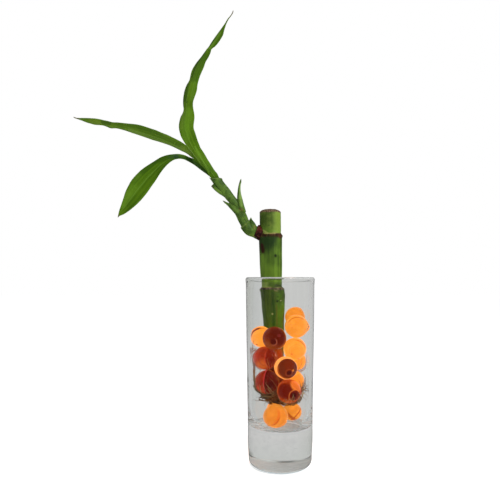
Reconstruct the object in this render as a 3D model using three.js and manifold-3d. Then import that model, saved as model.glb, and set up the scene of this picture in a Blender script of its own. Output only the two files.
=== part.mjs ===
// A lucky bamboo in a clear shot-glass vase, filled with gel beads.
// Millimetres, +Z up, origin at the middle of the vase's foot, +X to the right.
import * as THREE from "three";
import { mergeVertices } from "three/addons/utils/BufferGeometryUtils.js";
import Module from "manifold-3d";

const wasm = await Module();
wasm.setup();

// Clearance that separate pieces keep where they rest on each other
const GAP = 0.3;
const WELD = 1e-4;

// Vase
const VASE_SIDES = 44;
const FOOT_RADIUS = 14.0;
const HEEL_RADIUS = 17.7;
const HEEL_HEIGHT = 3.9;
const OUTER_WALL = [
  [17.75, 6.7],
  [18.15, 13],
  [18.2, 24.7],
  [18.5, 47.2],
  [18.87, 69.8],
  [19.1, 92.3],
  [19.15, 101],
];
const LIP_RADIUS = 19.4;
const LIP_MIDDLE = 103.5;
const VASE_HEIGHT = 105;
const LIP_INNER_RADIUS = 17.15;
const INNER_WALL = [[17.35, 96], [17.05, 69.8], [16.55, 47]];
const BOWL_RADIUS = 16.0;
const BOWL_TOP = 36;
const FLOOR_RADIUS = 12.6;
const FLOOR_HEIGHT = 21.9;
const HEEL_STEPS = 5;
const LIP_STEPS = 9;
const BOWL_STEPS = 7;

// Cane: its middle line, its thickness by height, and its two rings
const CANE_SIDES = 18;
const CANE_LINE = [
  [-1.7, 9.2, 34.3],
  [-2.6, 9.8, 55],
  [-3.5, 9.7, 77],
  [-4.3, 8.4, 98],
  [-4.9, 8.8, 122],
  [-5.2, 9.2, 144],
];
const CANE_RADII = [
  [34, 5.1],
  [45, 5.5],
  [77, 5.75],
  [90, 6.5],
  [97, 6.9],
  [101, 6.1],
  [115, 6.25],
  [128, 6.6],
  [131, 6.15],
  [144, 6.15],
];
const CANE_END = 34.3;
const CANE_TOP = 143.0;
const CANE_DOME = 1.6;
const CANE_STEP = 4;
const CANE_LEAST_STEP = 0.5;
// Rings of corners on its domed top: how far in to the middle, and how far up the dome
const CANE_CUT_RINGS = [[0.4, 0.75], [0.75, 0.95]];
const RING_OFFSETS = [-2, -1, 0, 1, 2];
const LOWER_RING = { height: 98.6, rise: 0.55, width: 1.3 };
const UPPER_RING = { height: 129.2, rise: 0.6, width: 1.2 };
const BUD_LINE = [[-6, 9.0, 128.9], [-10.2, 8.85, 129.9], [-13.5, 8.65, 131.2]];
const BUD_RADII = [[0, 4.2], [0.7, 4.1], [1, 3.8]];
const BUD_SIDES = 14;
const BUD_STEPS = 6;

// Roots
const CROWN_BORE = 5.55;
const CROWN_RADIUS = 6.15;
const CROWN_FLOOR = 0.9;
const CROWN_HEIGHT = 2.6;
const CROWN_SIDES = 24;
const STRAND_RADIUS = 0.42;
const STRAND_RADII = [[0, STRAND_RADIUS], [1, 0.3]];
const STRAND_SIDES = 3;
const STRAND_STEP = 0.9;
const STRAND_THINNING = 4;
const STRAND_LEAP = 2.2;
const STRAND_SLACK = 0.25;
const STRAND_DRAW_IN = 9;
const STRAND_FEWEST = 4;
const CLEAR_ROUNDS = 12;
const CLEAR_MISS = 0.03;
// Strands that cradle a bead: which bead, how many, and how far round it they reach in degrees
const CRADLES = [
  { bead: 3, count: 12, reach: [80, 175] },
  { bead: 4, count: 8, reach: [70, 150] },
  { bead: 10, count: 4, reach: [60, 140] },
];
const LOOSE_COUNT = 6;
const LOOSE_FAN = [175, 375];
const LOOSE_LENGTH = [10, 20];
const LOOSE_CLIMB = [-0.8, 0.4];
const LOOSE_WANDER = 0.3;
const ROOT_SINK = 0.25;
const ROOT_LEVELS = [-0.6, 1.0];
const CRADLE_FAN = 1.5;
const CRADLE_SLACK = 1.2;
const CRADLE_LEAN = 0.9;

// Beads: where each is seen, as [right, back, up, radius]
const BEAD_DETAIL = 3;
const BEADS = [
  [-2.9, -10.0, 71.8, 6.3],
  [-8.6, -5.5, 60.7, 6.4],
  [3.0, -9.8, 55.6, 6.3],
  [-6.5, -5.5, 46.7, 6.8],
  [4.8, -8.3, 42.8, 6.5],
  [-10.6, 0.0, 71.4, 6.0],
  [8.9, 6.2, 82.2, 5.8],
  [8.6, -5.3, 77.5, 6.3],
  [8.3, -3.5, 65.2, 6.2],
  [10.3, 4.8, 57.1, 5.4],
  [8.2, 3.0, 46.6, 5.9],
  [-2.8, -8.0, 28.8, 6.7],
  [7.5, 4.3, 27.5, 5.3],
  [-1.6, 8.7, 27.5, 5.3],
];
const SETTLE_ROUNDS = 500;
const SETTLE_PULL = 0.03;

// Shoot
const SHOOT_SIDES = 12;
const SHOOT_STEPS = 18;
const SHOOT_LINE = [
  [-14.2, 8.6, 131.5],
  [-17.4, 8.3, 132.9],
  [-19.9, 8.0, 136.5],
  [-22.0, 7.6, 141.0],
  [-24.2, 7.2, 145.6],
  [-27.9, 6.8, 150.5],
  [-31.2, 6.5, 154.6],
  [-34.2, 6.2, 158.2],
  [-36.5, 6.0, 161.6],
  [-38.4, 5.9, 164.4],
];
const SHOOT_RADII = [
  [0, 3.6],
  [0.1, 3.1],
  [0.2, 2.8],
  [0.32, 2.6],
  [0.42, 2.6],
  [0.44, 2.95],
  [0.47, 2.5],
  [0.7, 2.35],
  [1, 2.15],
];
const STEM_END = 0.855;
// Clasping sheaths: where each starts and ends along the shoot, and which way its long side faces
const SHEATHS = [
  { start: 0.01, end: 0.24, facing: 0, spread: 170, sideReach: 0.84, flare: 0.55 },
  { start: 0.2, end: 0.43, facing: 120, spread: 150, sideReach: 0.75, flare: 0.05 },
  { start: 0.5, end: 0.99, facing: 185, spread: 170, sideReach: 0.8, flare: 0.35 },
];
const SHEATH_ROWS = 5;
const SHEATH_COLUMNS = 10;
const SHEATH_SINK = 0.35;
const SHEATH_STEP_OUT = 0.55;
const SHEATH_TAPER = 1.3;

// Thin blades, station by station:
// right, back, up, half width, turn off the picture plane, fold along the rib (degrees)
const BLADE_THICKNESS = 0.7;
const SCALE_UPRIGHT = [
  [-22.5, 7.4, 145.0, 1.4, 0, 10],
  [-23.1, 7.0, 149.6, 1.2, 10, 12],
  [-23.2, 6.7, 154.2, 1.0, 20, 12],
  [-21.8, 6.2, 161.4, 0.35, 20, 0],
];
const SCALE_POINTED = [
  [-22.2, 6.3, 138.2, 2.3, 10, -14],
  [-25.0, 5.4, 142.2, 1.9, 15, -12],
  [-28.3, 4.8, 145.5, 1.1, 15, -10],
  [-32.5, 4.3, 148.9, 0.35, 10, 0],
];
const SCALE_TORN = [
  [-27.4, 6.0, 147.6, 1.5, 0, -18],
  [-30.2, 5.4, 149.9, 1.6, 0, -18],
  [-33.4, 4.9, 152.8, 1.6, 0, -18],
  [-36.2, 4.6, 155.5, 1.5, 0, -15],
  [-38.3, 4.5, 157.8, 1.2, 0, -10],
];
const LEAF_UP = [
  [-35.5, 5.0, 160.9, 0.95, 0, 0],
  [-37.5, 4.75, 163.7, 1.6, 4, -16],
  [-39.5, 4.4, 165.8, 2.1, 8, -30],
  [-42.5, 4.0, 169.7, 2.5, 14, -34],
  [-47.3, 3.4, 176.7, 3.8, 20, -26],
  [-50.9, 2.8, 181.9, 5.0, 21, -20],
  [-52.7, 2.2, 186.3, 5.6, 24, -16],
  [-53.1, 1.6, 190.7, 5.9, 32, -16],
  [-52.5, 0.4, 198.2, 6.0, 45, -16],
  [-51.7, -0.8, 204.5, 5.9, 48, -14],
  [-50.2, -2.2, 210.7, 5.5, 40, -18],
  [-47.5, -4.4, 218.8, 4.8, 41, -18],
  [-42.1, -7.0, 226.5, 3.8, 46, -16],
  [-35.3, -9.5, 234.1, 2.8, 46, -16],
  [-30.2, -12.0, 241.5, 1.5, 45, -10],
  [-26.0, -14.0, 247.1, 0.35, 45, 0],
];
const LEAF_LEFT = [
  [-35.8, 6.0, 160.9, 1.1, 0, 0],
  [-38.4, 6.05, 163.9, 1.3, 8, -4],
  [-41.5, 6.2, 167.1, 1.4, 26, -10],
  [-46.3, 6.9, 171.9, 1.8, 50, -14],
  [-52.2, 8.2, 177.2, 2.6, 62, -14],
  [-58.2, 9.2, 181.5, 3.7, 67, -14],
  [-65.4, 10.4, 185.3, 4.6, 70, -14],
  [-74.5, 12.0, 188.8, 5.3, 74, -14],
  [-84.3, 13.4, 191.9, 5.5, 77, -14],
  [-93.6, 14.8, 194.1, 5.1, 79, -14],
  [-102.9, 16.0, 196.1, 4.0, 78, -12],
  [-113.4, 17.2, 198.4, 2.2, 80, -8],
  [-122.2, 18.0, 200.7, 0.35, 60, 0],
];
const LEAF_LOW = [
  [-35.9, 7.0, 161.0, 0.75, 0, 0],
  [-38.3, 7.15, 163.8, 0.75, 0, 2],
  [-41.6, 9.1, 166.4, 0.9, -4, 8],
  [-45.7, 10.1, 169.5, 1.0, -10, 12],
  [-50.8, 9.0, 172.1, 1.3, -22, 20],
  [-56.1, 2.6, 172.9, 1.9, -34, 20],
  [-61.0, -2.0, 171.7, 3.0, -40, 18],
  [-66.0, -4.4, 168.9, 4.4, -41, 16],
  [-70.3, -6.4, 164.8, 5.2, -31, 14],
  [-74.1, -8.2, 159.9, 5.5, -20, 14],
  [-76.5, -9.6, 155.3, 5.5, -13, 14],
  [-78.8, -10.8, 150.8, 5.4, -12, 14],
  [-81.0, -11.8, 146.4, 4.7, -22, 14],
  [-84.0, -12.8, 142.0, 3.0, -18, 10],
  [-87.5, -14.0, 137.0, 0.35, -15, 0],
];

const SCALES = [
  { stations: SCALE_UPRIGHT, rows: 8, across: 4 },
  { stations: SCALE_POINTED, rows: 6, across: 4 },
  { stations: SCALE_TORN, rows: 6, across: 4 },
];
const LEAVES = {
  leaf_up: { stations: LEAF_UP, rows: 28, across: 6, wave: 0.03, waves: 4 },
  leaf_left: { stations: LEAF_LEFT, rows: 24, across: 6, wave: 0.05, waves: 3 },
  leaf_low: { stations: LEAF_LOW, rows: 24, across: 6, wave: 0.04, waves: 3 },
};
const HALF_WIDTH_LEAST = 0.3;
const RIPPLE_SHIFT = 0.21;

const SKIN = { roughness: 0.45, metalness: 0 };
const CLEAR = { opacity: 0.35, transparent: true };
const MATERIALS = {
  glass: new THREE.MeshStandardMaterial({ color: 0xd6dcda, roughness: 0.05, metalness: 0, ...CLEAR }),
  cane: new THREE.MeshStandardMaterial({ color: 0x4a7526, ...SKIN }),
  root: new THREE.MeshStandardMaterial({ color: 0x6b4a2a, roughness: 0.85, metalness: 0 }),
  shoot: new THREE.MeshStandardMaterial({ color: 0x58852f, ...SKIN }),
  leaf: new THREE.MeshStandardMaterial({ color: 0x4f8a24, roughness: 0.4, metalness: 0 }),
  bead: new THREE.MeshStandardMaterial({ color: 0xf08a28, roughness: 0.1, metalness: 0 }),
};

const plant = new THREE.Group();

// A repeatable draw between 0 and 1
function seededDraw(seed) {
  let state = seed;
  return () => {
    state = (state * 1664525 + 1013904223) % 4294967296;
    return state / 4294967296;
  };
}

const vec = ([x, y, z]) => new THREE.Vector3(x, y, z);

// The value at a place in a list of [place, value] pairs
function valueAt(pairs, place) {
  if (place <= pairs[0][0]) {
    return pairs[0][1];
  }
  for (let i = 1; i < pairs.length; i += 1) {
    const [end, value] = pairs[i];
    if (place <= end) {
      const [start, before] = pairs[i - 1];
      const share = (place - start) / (end - start);
      const eased = share * share * (3 - 2 * share);
      return before + (value - before) * eased;
    }
  }
  return pairs[pairs.length - 1][1];
}

// A closed geometry as a solid that can be joined and measured
function toSolid(geometry) {
  const bare = geometry.clone();
  bare.deleteAttribute("normal");
  bare.deleteAttribute("uv");
  const merged = mergeVertices(bare, WELD);
  const solidMesh = new wasm.Mesh({
    numProp: 3,
    vertProperties: new Float32Array(merged.attributes.position.array),
    triVerts: new Uint32Array(merged.index.array),
  });
  return new wasm.Manifold(solidMesh);
}

function toGeometry(solid) {
  const { vertProperties, triVerts } = solid.getMesh();
  const geometry = new THREE.BufferGeometry();
  geometry.setAttribute("position", new THREE.BufferAttribute(new Float32Array(vertProperties), 3));
  geometry.setIndex(new THREE.BufferAttribute(new Uint32Array(triVerts), 1));
  geometry.computeVertexNormals();
  return geometry;
}

// The pieces as one body, without loose scraps or sealed hollows
function joined(geometries) {
  const whole = geometries.map(toSolid).reduce((sum, piece) => sum.add(piece));
  const bodies = whole.decompose();
  bodies.sort((a, b) => b.volume() - a.volume());
  return toGeometry(bodies[0]);
}

function addMesh(name, geometry, material) {
  const mesh = new THREE.Mesh(geometry, material);
  mesh.name = name;
  plant.add(mesh);
}

// A geometry from a list of corners and a list of triangles
function fromCorners(corners, triangles) {
  const geometry = new THREE.BufferGeometry();
  const numbers = corners.flatMap((corner) => corner.toArray());
  geometry.setAttribute("position", new THREE.Float32BufferAttribute(numbers, 3));
  geometry.setIndex(triangles.flat());
  geometry.computeVertexNormals();
  return geometry;
}

// A closed skin over rings of corners, with a point at each end
function loft(rings, firstPoint, lastPoint) {
  const sides = rings[0].length;
  const corners = [...rings.flat(), firstPoint, lastPoint];
  const first = corners.length - 2;
  const last = corners.length - 1;
  const triangles = [];
  for (let k = 0; k < rings.length - 1; k += 1) {
    for (let i = 0; i < sides; i += 1) {
      const a = k * sides + i;
      const b = k * sides + ((i + 1) % sides);
      triangles.push([a, b, b + sides], [a, b + sides, a + sides]);
    }
  }
  const top = (rings.length - 1) * sides;
  for (let i = 0; i < sides; i += 1) {
    const next = (i + 1) % sides;
    triangles.push([first, next, i], [last, top + i, top + next]);
  }
  return fromCorners(corners, triangles);
}

// Directions along and across a line at a share of its length
function frameAt(curve, share) {
  const middle = curve.getPointAt(share);
  const along = curve.getTangentAt(share);
  const front = new THREE.Vector3(0, -1, 0);
  front.addScaledVector(along, -front.dot(along)).normalize();
  const side = new THREE.Vector3().crossVectors(along, front).normalize();
  return { middle, along, front, side };
}

// A round rod along a line, up to a share of its length
function rod(line, radii, sides, steps, end = 1) {
  const curve = new THREE.CatmullRomCurve3(line.map(vec));
  const rings = [];
  for (let k = 0; k <= steps; k += 1) {
    const share = (end * k) / steps;
    const { middle, front, side } = frameAt(curve, share);
    const radius = valueAt(radii, share);
    const ring = [];
    for (let i = 0; i < sides; i += 1) {
      const angle = (2 * Math.PI * i) / sides;
      const corner = middle.clone().addScaledVector(side, radius * Math.cos(angle));
      ring.push(corner.addScaledVector(front, -radius * Math.sin(angle)));
    }
    rings.push(ring);
  }
  return loft(rings, curve.getPointAt(0), curve.getPointAt(end));
}

function arc(centreR, centreZ, radiusR, radiusZ, start, end, count) {
  const points = [];
  for (let i = 0; i <= count; i += 1) {
    const angle = THREE.MathUtils.degToRad(start + ((end - start) * i) / count);
    const r = centreR + radiusR * Math.cos(angle);
    const z = centreZ + radiusZ * Math.sin(angle);
    points.push(new THREE.Vector2(r, z));
  }
  return points;
}

// The inside of the vase, from the top of its straight wall to the middle of its floor
function hollowProfile() {
  return [
    ...INNER_WALL.map(([r, z]) => new THREE.Vector2(r, z)),
    ...arc(FLOOR_RADIUS, BOWL_TOP, BOWL_RADIUS - FLOOR_RADIUS, BOWL_TOP - FLOOR_HEIGHT, 0, -90, BOWL_STEPS),
    new THREE.Vector2(0, FLOOR_HEIGHT),
  ];
}

function vaseGeometry() {
  const lipHeight = VASE_HEIGHT - LIP_MIDDLE;
  const lipCentre = (LIP_RADIUS + LIP_INNER_RADIUS) / 2;
  const lipHalf = (LIP_RADIUS - LIP_INNER_RADIUS) / 2;
  const profile = [
    new THREE.Vector2(0, 0),
    ...arc(FOOT_RADIUS, HEEL_HEIGHT, HEEL_RADIUS - FOOT_RADIUS, HEEL_HEIGHT, -90, 0, HEEL_STEPS),
    ...OUTER_WALL.map(([r, z]) => new THREE.Vector2(r, z)),
    ...arc(lipCentre, LIP_MIDDLE, lipHalf, lipHeight, -20, 180, LIP_STEPS),
    ...hollowProfile(),
  ];
  const geometry = new THREE.LatheGeometry(profile, VASE_SIDES);
  geometry.rotateX(Math.PI / 2);
  return geometry;
}

const caneCurve = new THREE.CatmullRomCurve3(CANE_LINE.map(vec));

// The cane's middle at a height
function caneMiddle(height) {
  const low = CANE_LINE[0][2];
  const high = CANE_LINE[CANE_LINE.length - 1][2];
  let share = THREE.MathUtils.clamp((height - low) / (high - low), 0, 1);
  for (let i = 0; i < 4; i += 1) {
    const point = caneCurve.getPointAt(share);
    share = THREE.MathUtils.clamp(share + (height - point.z) / (high - low), 0, 1);
  }
  return caneCurve.getPointAt(share);
}

function caneRadius(height) {
  let radius = valueAt(CANE_RADII, height);
  for (const ring of [LOWER_RING, UPPER_RING]) {
    radius += ring.rise * Math.exp(-(((height - ring.height) / ring.width) ** 2));
  }
  return radius;
}

// Heights of the cane's rings of corners, closer together at its two joints
function caneHeights() {
  const heights = [];
  for (let z = CANE_END; z < CANE_TOP; z += CANE_STEP) {
    heights.push(z);
  }
  heights.push(CANE_TOP);
  for (const ring of [LOWER_RING, UPPER_RING]) {
    for (const offset of RING_OFFSETS) {
      heights.push(ring.height + offset);
    }
  }
  heights.sort((a, b) => a - b);
  return heights.filter((z, i) => i === 0 || z - heights[i - 1] > CANE_LEAST_STEP);
}

function caneGeometry() {
  const rings = caneHeights().map((height) => {
    const middle = caneMiddle(height);
    const radius = caneRadius(height);
    const ring = [];
    for (let i = 0; i < CANE_SIDES; i += 1) {
      const angle = (2 * Math.PI * i) / CANE_SIDES;
      const x = middle.x + radius * Math.cos(angle);
      const y = middle.y + radius * Math.sin(angle);
      ring.push(new THREE.Vector3(x, y, height));
    }
    return ring;
  });
  const foot = caneMiddle(CANE_END).setZ(CANE_END);
  const cut = caneMiddle(CANE_TOP).setZ(CANE_TOP + CANE_DOME);
  for (const [inward, rise] of CANE_CUT_RINGS) {
    const level = CANE_TOP + rise * CANE_DOME;
    rings.push(rings[rings.length - 1].map((corner) => corner.clone().lerp(cut, inward).setZ(level)));
  }
  const stalk = loft(rings, foot, cut);
  const bud = rod(BUD_LINE, BUD_RADII, BUD_SIDES, BUD_STEPS);
  return joined([stalk, bud]);
}

// The hollow with its wall carried straight up past the lip, for what leans on the glass
function cavityProfile() {
  const [top] = INNER_WALL;
  return [new THREE.Vector2(top[0], 2 * VASE_HEIGHT), ...hollowProfile()];
}

// A point is pushed off the glass, in its own upright plane
function keepInsideVase(point, clearance, profile) {
  const radius = Math.hypot(point.x, point.y);
  const place = new THREE.Vector2(radius, point.z);
  for (let i = 1; i < profile.length; i += 1) {
    const start = profile[i - 1];
    const span = profile[i].clone().sub(start);
    const share = THREE.MathUtils.clamp(place.clone().sub(start).dot(span) / span.lengthSq(), 0, 1);
    const nearest = start.clone().addScaledVector(span, share);
    const inward = new THREE.Vector2(span.y, -span.x).normalize();
    const depth = place.clone().sub(nearest).dot(inward);
    const distance = place.distanceTo(nearest);
    if (distance < clearance || (depth < 0 && distance < 4 * clearance)) {
      const away = depth < 0 ? inward : place.clone().sub(nearest).normalize();
      place.copy(nearest).addScaledVector(away, clearance);
    }
  }
  if (radius > 1e-6) {
    point.x *= place.x / radius;
    point.y *= place.x / radius;
  }
  point.z = place.y;
}

function keepOffCane(point, clearance) {
  if (point.z + clearance < CANE_END) {
    return;
  }
  const level = Math.max(point.z, CANE_END);
  const middle = caneMiddle(level);
  middle.z = point.z;
  const need = caneRadius(level) + clearance;
  const away = point.clone().sub(middle);
  if (away.length() < need) {
    point.copy(middle).addScaledVector(away.normalize(), need);
  }
}

// The beads pushed clear of each other, the glass and the cane, near where they are seen
function settledBeads() {
  const profile = cavityProfile();
  const beads = BEADS.map((place) => ({ home: vec(place), centre: vec(place), radius: place[3] }));
  for (let round = 0; round < SETTLE_ROUNDS; round += 1) {
    const pull = SETTLE_PULL * Math.max(0, 1 - (1.5 * round) / SETTLE_ROUNDS);
    for (const bead of beads) {
      bead.centre.lerp(bead.home, pull);
    }
    for (let i = 0; i < beads.length; i += 1) {
      for (let j = 0; j < i; j += 1) {
        const need = beads[i].radius + beads[j].radius + GAP;
        const apart = beads[i].centre.clone().sub(beads[j].centre);
        const distance = apart.length();
        if (distance < need) {
          apart.multiplyScalar((need - distance) / distance / 2);
          beads[i].centre.add(apart);
          beads[j].centre.sub(apart);
        }
      }
      keepOffCane(beads[i].centre, beads[i].radius + GAP);
      keepInsideVase(beads[i].centre, beads[i].radius + GAP, profile);
    }
  }
  return beads;
}

function beadGeometry(bead) {
  const geometry = new THREE.IcosahedronGeometry(bead.radius, BEAD_DETAIL);
  geometry.translate(bead.centre.x, bead.centre.y, bead.centre.z);
  return geometry;
}

// A thin closed blade along its rib, from stations of place, half width, turn and fold
function blade({ stations, rows, across, wave = 0, waves = 0 }) {
  const rib = new THREE.CatmullRomCurve3(stations.map((station) => vec(station)));
  const form = new THREE.CatmullRomCurve3(stations.map((station) => vec(station.slice(3))));
  const upper = [];
  const lower = [];
  for (let k = 0; k <= rows; k += 1) {
    const share = k / rows;
    const { middle, front, side } = frameAt(rib, share);
    const shape = form.getPoint(rib.getUtoTmapping(share));
    const half = Math.max(shape.x, HALF_WIDTH_LEAST);
    const turn = THREE.MathUtils.degToRad(shape.y);
    const fold = THREE.MathUtils.degToRad(shape.z);
    const wide = side.clone().multiplyScalar(Math.cos(turn)).addScaledVector(front, Math.sin(turn));
    const face = front.clone().multiplyScalar(Math.cos(turn)).addScaledVector(side, -Math.sin(turn));
    for (let i = 0; i <= across; i += 1) {
      const reach = (2 * i) / across - 1;
      const phase = 2 * Math.PI * (waves * share + RIPPLE_SHIFT * i);
      const ripple = wave * half * reach * reach * Math.sin(phase);
      const lift = (Math.abs(reach) - 0.5) * half * Math.sin(fold) + ripple;
      const point = middle.clone().addScaledVector(wide, reach * half * Math.cos(fold));
      point.addScaledVector(face, lift);
      const slant = Math.sign(reach) * fold;
      const normal = face.clone().multiplyScalar(Math.cos(slant)).addScaledVector(wide, -Math.sin(slant));
      upper.push(point.clone().addScaledVector(normal, BLADE_THICKNESS / 2));
      lower.push(point.clone().addScaledVector(normal, -BLADE_THICKNESS / 2));
    }
  }
  return shell(upper, lower, rows, across);
}

// A closed shell between two like grids of corners, split alike on both faces
function shell(upper, lower, rows, across) {
  const width = across + 1;
  const under = upper.length;
  const triangles = [];
  for (let k = 0; k < rows; k += 1) {
    for (let i = 0; i < across; i += 1) {
      const a = k * width + i;
      const b = a + 1;
      const c = a + width + 1;
      const d = a + width;
      triangles.push([a, b, c], [a, c, d]);
      triangles.push([under + a, under + c, under + b], [under + a, under + d, under + c]);
    }
  }
  const rim = [];
  for (let i = 0; i < across; i += 1) {
    rim.push(i);
  }
  for (let k = 0; k < rows; k += 1) {
    rim.push(k * width + across);
  }
  for (let i = across; i > 0; i -= 1) {
    rim.push(rows * width + i);
  }
  for (let k = rows; k > 0; k -= 1) {
    rim.push(k * width);
  }
  rim.forEach((corner, i) => {
    const next = rim[(i + 1) % rim.length];
    triangles.push([corner, under + corner, under + next], [corner, under + next, next]);
  });
  const geometry = fromCorners([...upper, ...lower], triangles);
  if (toSolid(geometry).volume() < 0) {
    geometry.setIndex(triangles.map(([a, b, c]) => [a, c, b]).flat());
  }
  return geometry;
}

// A sheath that clasps the shoot, longest on the side that it faces
function sheathGeometry({ start, end, facing, spread, sideReach, flare }) {
  const curve = new THREE.CatmullRomCurve3(SHOOT_LINE.map(vec));
  const upper = [];
  const lower = [];
  for (let k = 0; k <= SHEATH_ROWS; k += 1) {
    for (let i = 0; i <= SHEATH_COLUMNS; i += 1) {
      const reach = (2 * i) / SHEATH_COLUMNS - 1;
      const tongue = (1 - Math.abs(reach)) ** SHEATH_TAPER;
      const length = (end - start) * (sideReach + (1 - sideReach) * tongue);
      const along = k / SHEATH_ROWS;
      const share = start + length * along;
      const { middle, front, side } = frameAt(curve, share);
      const angle = THREE.MathUtils.degToRad(facing + reach * spread);
      const outward = side.clone().multiplyScalar(Math.cos(angle)).addScaledVector(front, Math.sin(angle));
      const rise = SHEATH_STEP_OUT * Math.min(1, 2 * along) + flare * along ** 2 - SHEATH_SINK;
      const radius = valueAt(SHOOT_RADII, share) + rise;
      upper.push(middle.clone().addScaledVector(outward, radius + BLADE_THICKNESS / 2));
      lower.push(middle.clone().addScaledVector(outward, radius - BLADE_THICKNESS / 2));
    }
  }
  return shell(upper, lower, SHEATH_ROWS, SHEATH_COLUMNS);
}

function shootGeometry() {
  const stem = rod(SHOOT_LINE, SHOOT_RADII, SHOOT_SIDES, SHOOT_STEPS, STEM_END);
  return joined([stem, ...SHEATHS.map(sheathGeometry), ...SCALES.map(blade)]);
}

// The cup of root tissue that the cane's end stands in
function crownGeometry() {
  const seat = CANE_END - GAP;
  const profile = [
    [0, seat - CROWN_FLOOR],
    [CROWN_RADIUS - 0.6, seat - CROWN_FLOOR],
    [CROWN_RADIUS, seat],
    [CROWN_RADIUS, seat + CROWN_HEIGHT - CROWN_FLOOR],
    [CROWN_BORE, seat + CROWN_HEIGHT - CROWN_FLOOR],
    [CROWN_BORE, seat],
    [0, seat],
  ];
  const geometry = new THREE.LatheGeometry(profile.map(([r, z]) => new THREE.Vector2(r, z)), CROWN_SIDES);
  geometry.rotateX(Math.PI / 2);
  geometry.translate(CANE_LINE[0][0], CANE_LINE[0][1], 0);
  return geometry;
}

// A point moved clear of the beads, the cane and the glass, and whether it now is
function clearOfContents(point, clearance, beads, profile) {
  for (let round = 0; round < CLEAR_ROUNDS; round += 1) {
    let worst = 0;
    for (const bead of beads) {
      const away = point.clone().sub(bead.centre);
      const need = bead.radius + clearance;
      if (away.length() < need) {
        worst = Math.max(worst, need - away.length());
        point.copy(bead.centre).addScaledVector(away.normalize(), need);
      }
    }
    const before = point.clone();
    keepOffCane(point, clearance);
    keepInsideVase(point, clearance, profile);
    worst = Math.max(worst, before.distanceTo(point));
    if (worst < CLEAR_MISS) {
      return true;
    }
  }
  return false;
}

// Follows a root's wished places while they stay clear, and keeps every few of them
function clearLine(places, beads, profile) {
  const clearance = STRAND_RADIUS + GAP + STRAND_SLACK;
  const line = [places[0]];
  for (const place of places.slice(1)) {
    const next = place.clone();
    const clear = clearOfContents(next, clearance, beads, profile);
    if (!clear || next.distanceTo(line[line.length - 1]) > STRAND_LEAP) {
      break;
    }
    line.push(next);
  }
  return line.filter((_, i) => i % STRAND_THINNING === 0);
}

// Where a root leaves the crown on a heading, at a drawn level
function crownPoint(heading, draw) {
  const [x, y] = CANE_LINE[0];
  const out = CROWN_RADIUS - ROOT_SINK;
  const level = THREE.MathUtils.lerp(...ROOT_LEVELS, draw());
  return new THREE.Vector3(x + out * Math.cos(heading), y + out * Math.sin(heading), CANE_END + level);
}

// A root that runs under a bead and up its far side
function cradleLine(bead, reach, draw) {
  const toBead = Math.atan2(bead.centre.y - CANE_LINE[0][1], bead.centre.x - CANE_LINE[0][0]);
  const start = crownPoint(toBead + CRADLE_FAN * (draw() - 0.5), draw);
  const radius = bead.radius + STRAND_RADIUS + GAP + CRADLE_SLACK * draw() ** 2;
  const from = start.clone().sub(bead.centre);
  const firstRadius = from.length();
  from.normalize();
  const lean = [CRADLE_LEAN * (draw() - 0.5), CRADLE_LEAN * (draw() - 0.5), -1];
  const under = vec(lean).normalize();
  const hinge = new THREE.Vector3().crossVectors(from, under).normalize();
  const places = [start];
  const total = THREE.MathUtils.degToRad(reach);
  const steps = Math.round((total * THREE.MathUtils.lerp(radius, firstRadius, 0.3)) / STRAND_STEP);
  for (let k = 1; k <= steps; k += 1) {
    const way = from.clone().applyAxisAngle(hinge, (total * k) / steps);
    const drawnIn = Math.min(1, k / STRAND_DRAW_IN);
    const distance = THREE.MathUtils.lerp(firstRadius, radius, drawnIn);
    places.push(bead.centre.clone().addScaledVector(way, distance));
  }
  return places;
}

// A root that wanders out from the crown and sinks or climbs
function looseLine(heading, length, climb, draw) {
  const places = [crownPoint(heading, draw)];
  const steps = Math.round(length / STRAND_STEP);
  let angle = heading;
  for (let k = 1; k <= steps; k += 1) {
    angle += LOOSE_WANDER * (draw() - 0.5);
    const way = new THREE.Vector3(Math.cos(angle), Math.sin(angle), climb).setLength(STRAND_STEP);
    places.push(places[k - 1].clone().add(way));
  }
  return places;
}

function rootsGeometry(beads) {
  const draw = seededDraw(7);
  const profile = cavityProfile();
  const wishes = [];
  for (const { bead, count, reach } of CRADLES) {
    for (let i = 0; i < count; i += 1) {
      wishes.push(cradleLine(beads[bead], THREE.MathUtils.lerp(...reach, draw()), draw));
    }
  }
  for (let i = 0; i < LOOSE_COUNT; i += 1) {
    const turn = THREE.MathUtils.lerp(...LOOSE_FAN, (i + draw()) / LOOSE_COUNT);
    const length = THREE.MathUtils.lerp(...LOOSE_LENGTH, draw());
    const climb = THREE.MathUtils.lerp(...LOOSE_CLIMB, draw());
    wishes.push(looseLine(THREE.MathUtils.degToRad(turn), length, climb, draw));
  }
  const pieces = [crownGeometry()];
  for (const wish of wishes) {
    const line = clearLine(wish, beads, profile);
    if (line.length >= STRAND_FEWEST) {
      const points = line.map((point) => point.toArray());
      pieces.push(rod(points, STRAND_RADII, STRAND_SIDES, line.length - 1));
    }
  }
  return joined(pieces);
}

addMesh("vase", vaseGeometry(), MATERIALS.glass);
addMesh("cane", caneGeometry(), MATERIALS.cane);
addMesh("shoot", shootGeometry(), MATERIALS.shoot);
for (const [name, shape] of Object.entries(LEAVES)) {
  addMesh(name, blade(shape), MATERIALS.leaf);
}
const beads = settledBeads();
addMesh("roots", rootsGeometry(beads), MATERIALS.root);
beads.forEach((bead, i) => {
  addMesh(`bead_${String(i + 1).padStart(2, "0")}`, beadGeometry(bead), MATERIALS.bead);
});

export default plant;
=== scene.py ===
"""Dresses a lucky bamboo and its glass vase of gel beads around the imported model."""

import math
import random

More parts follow.
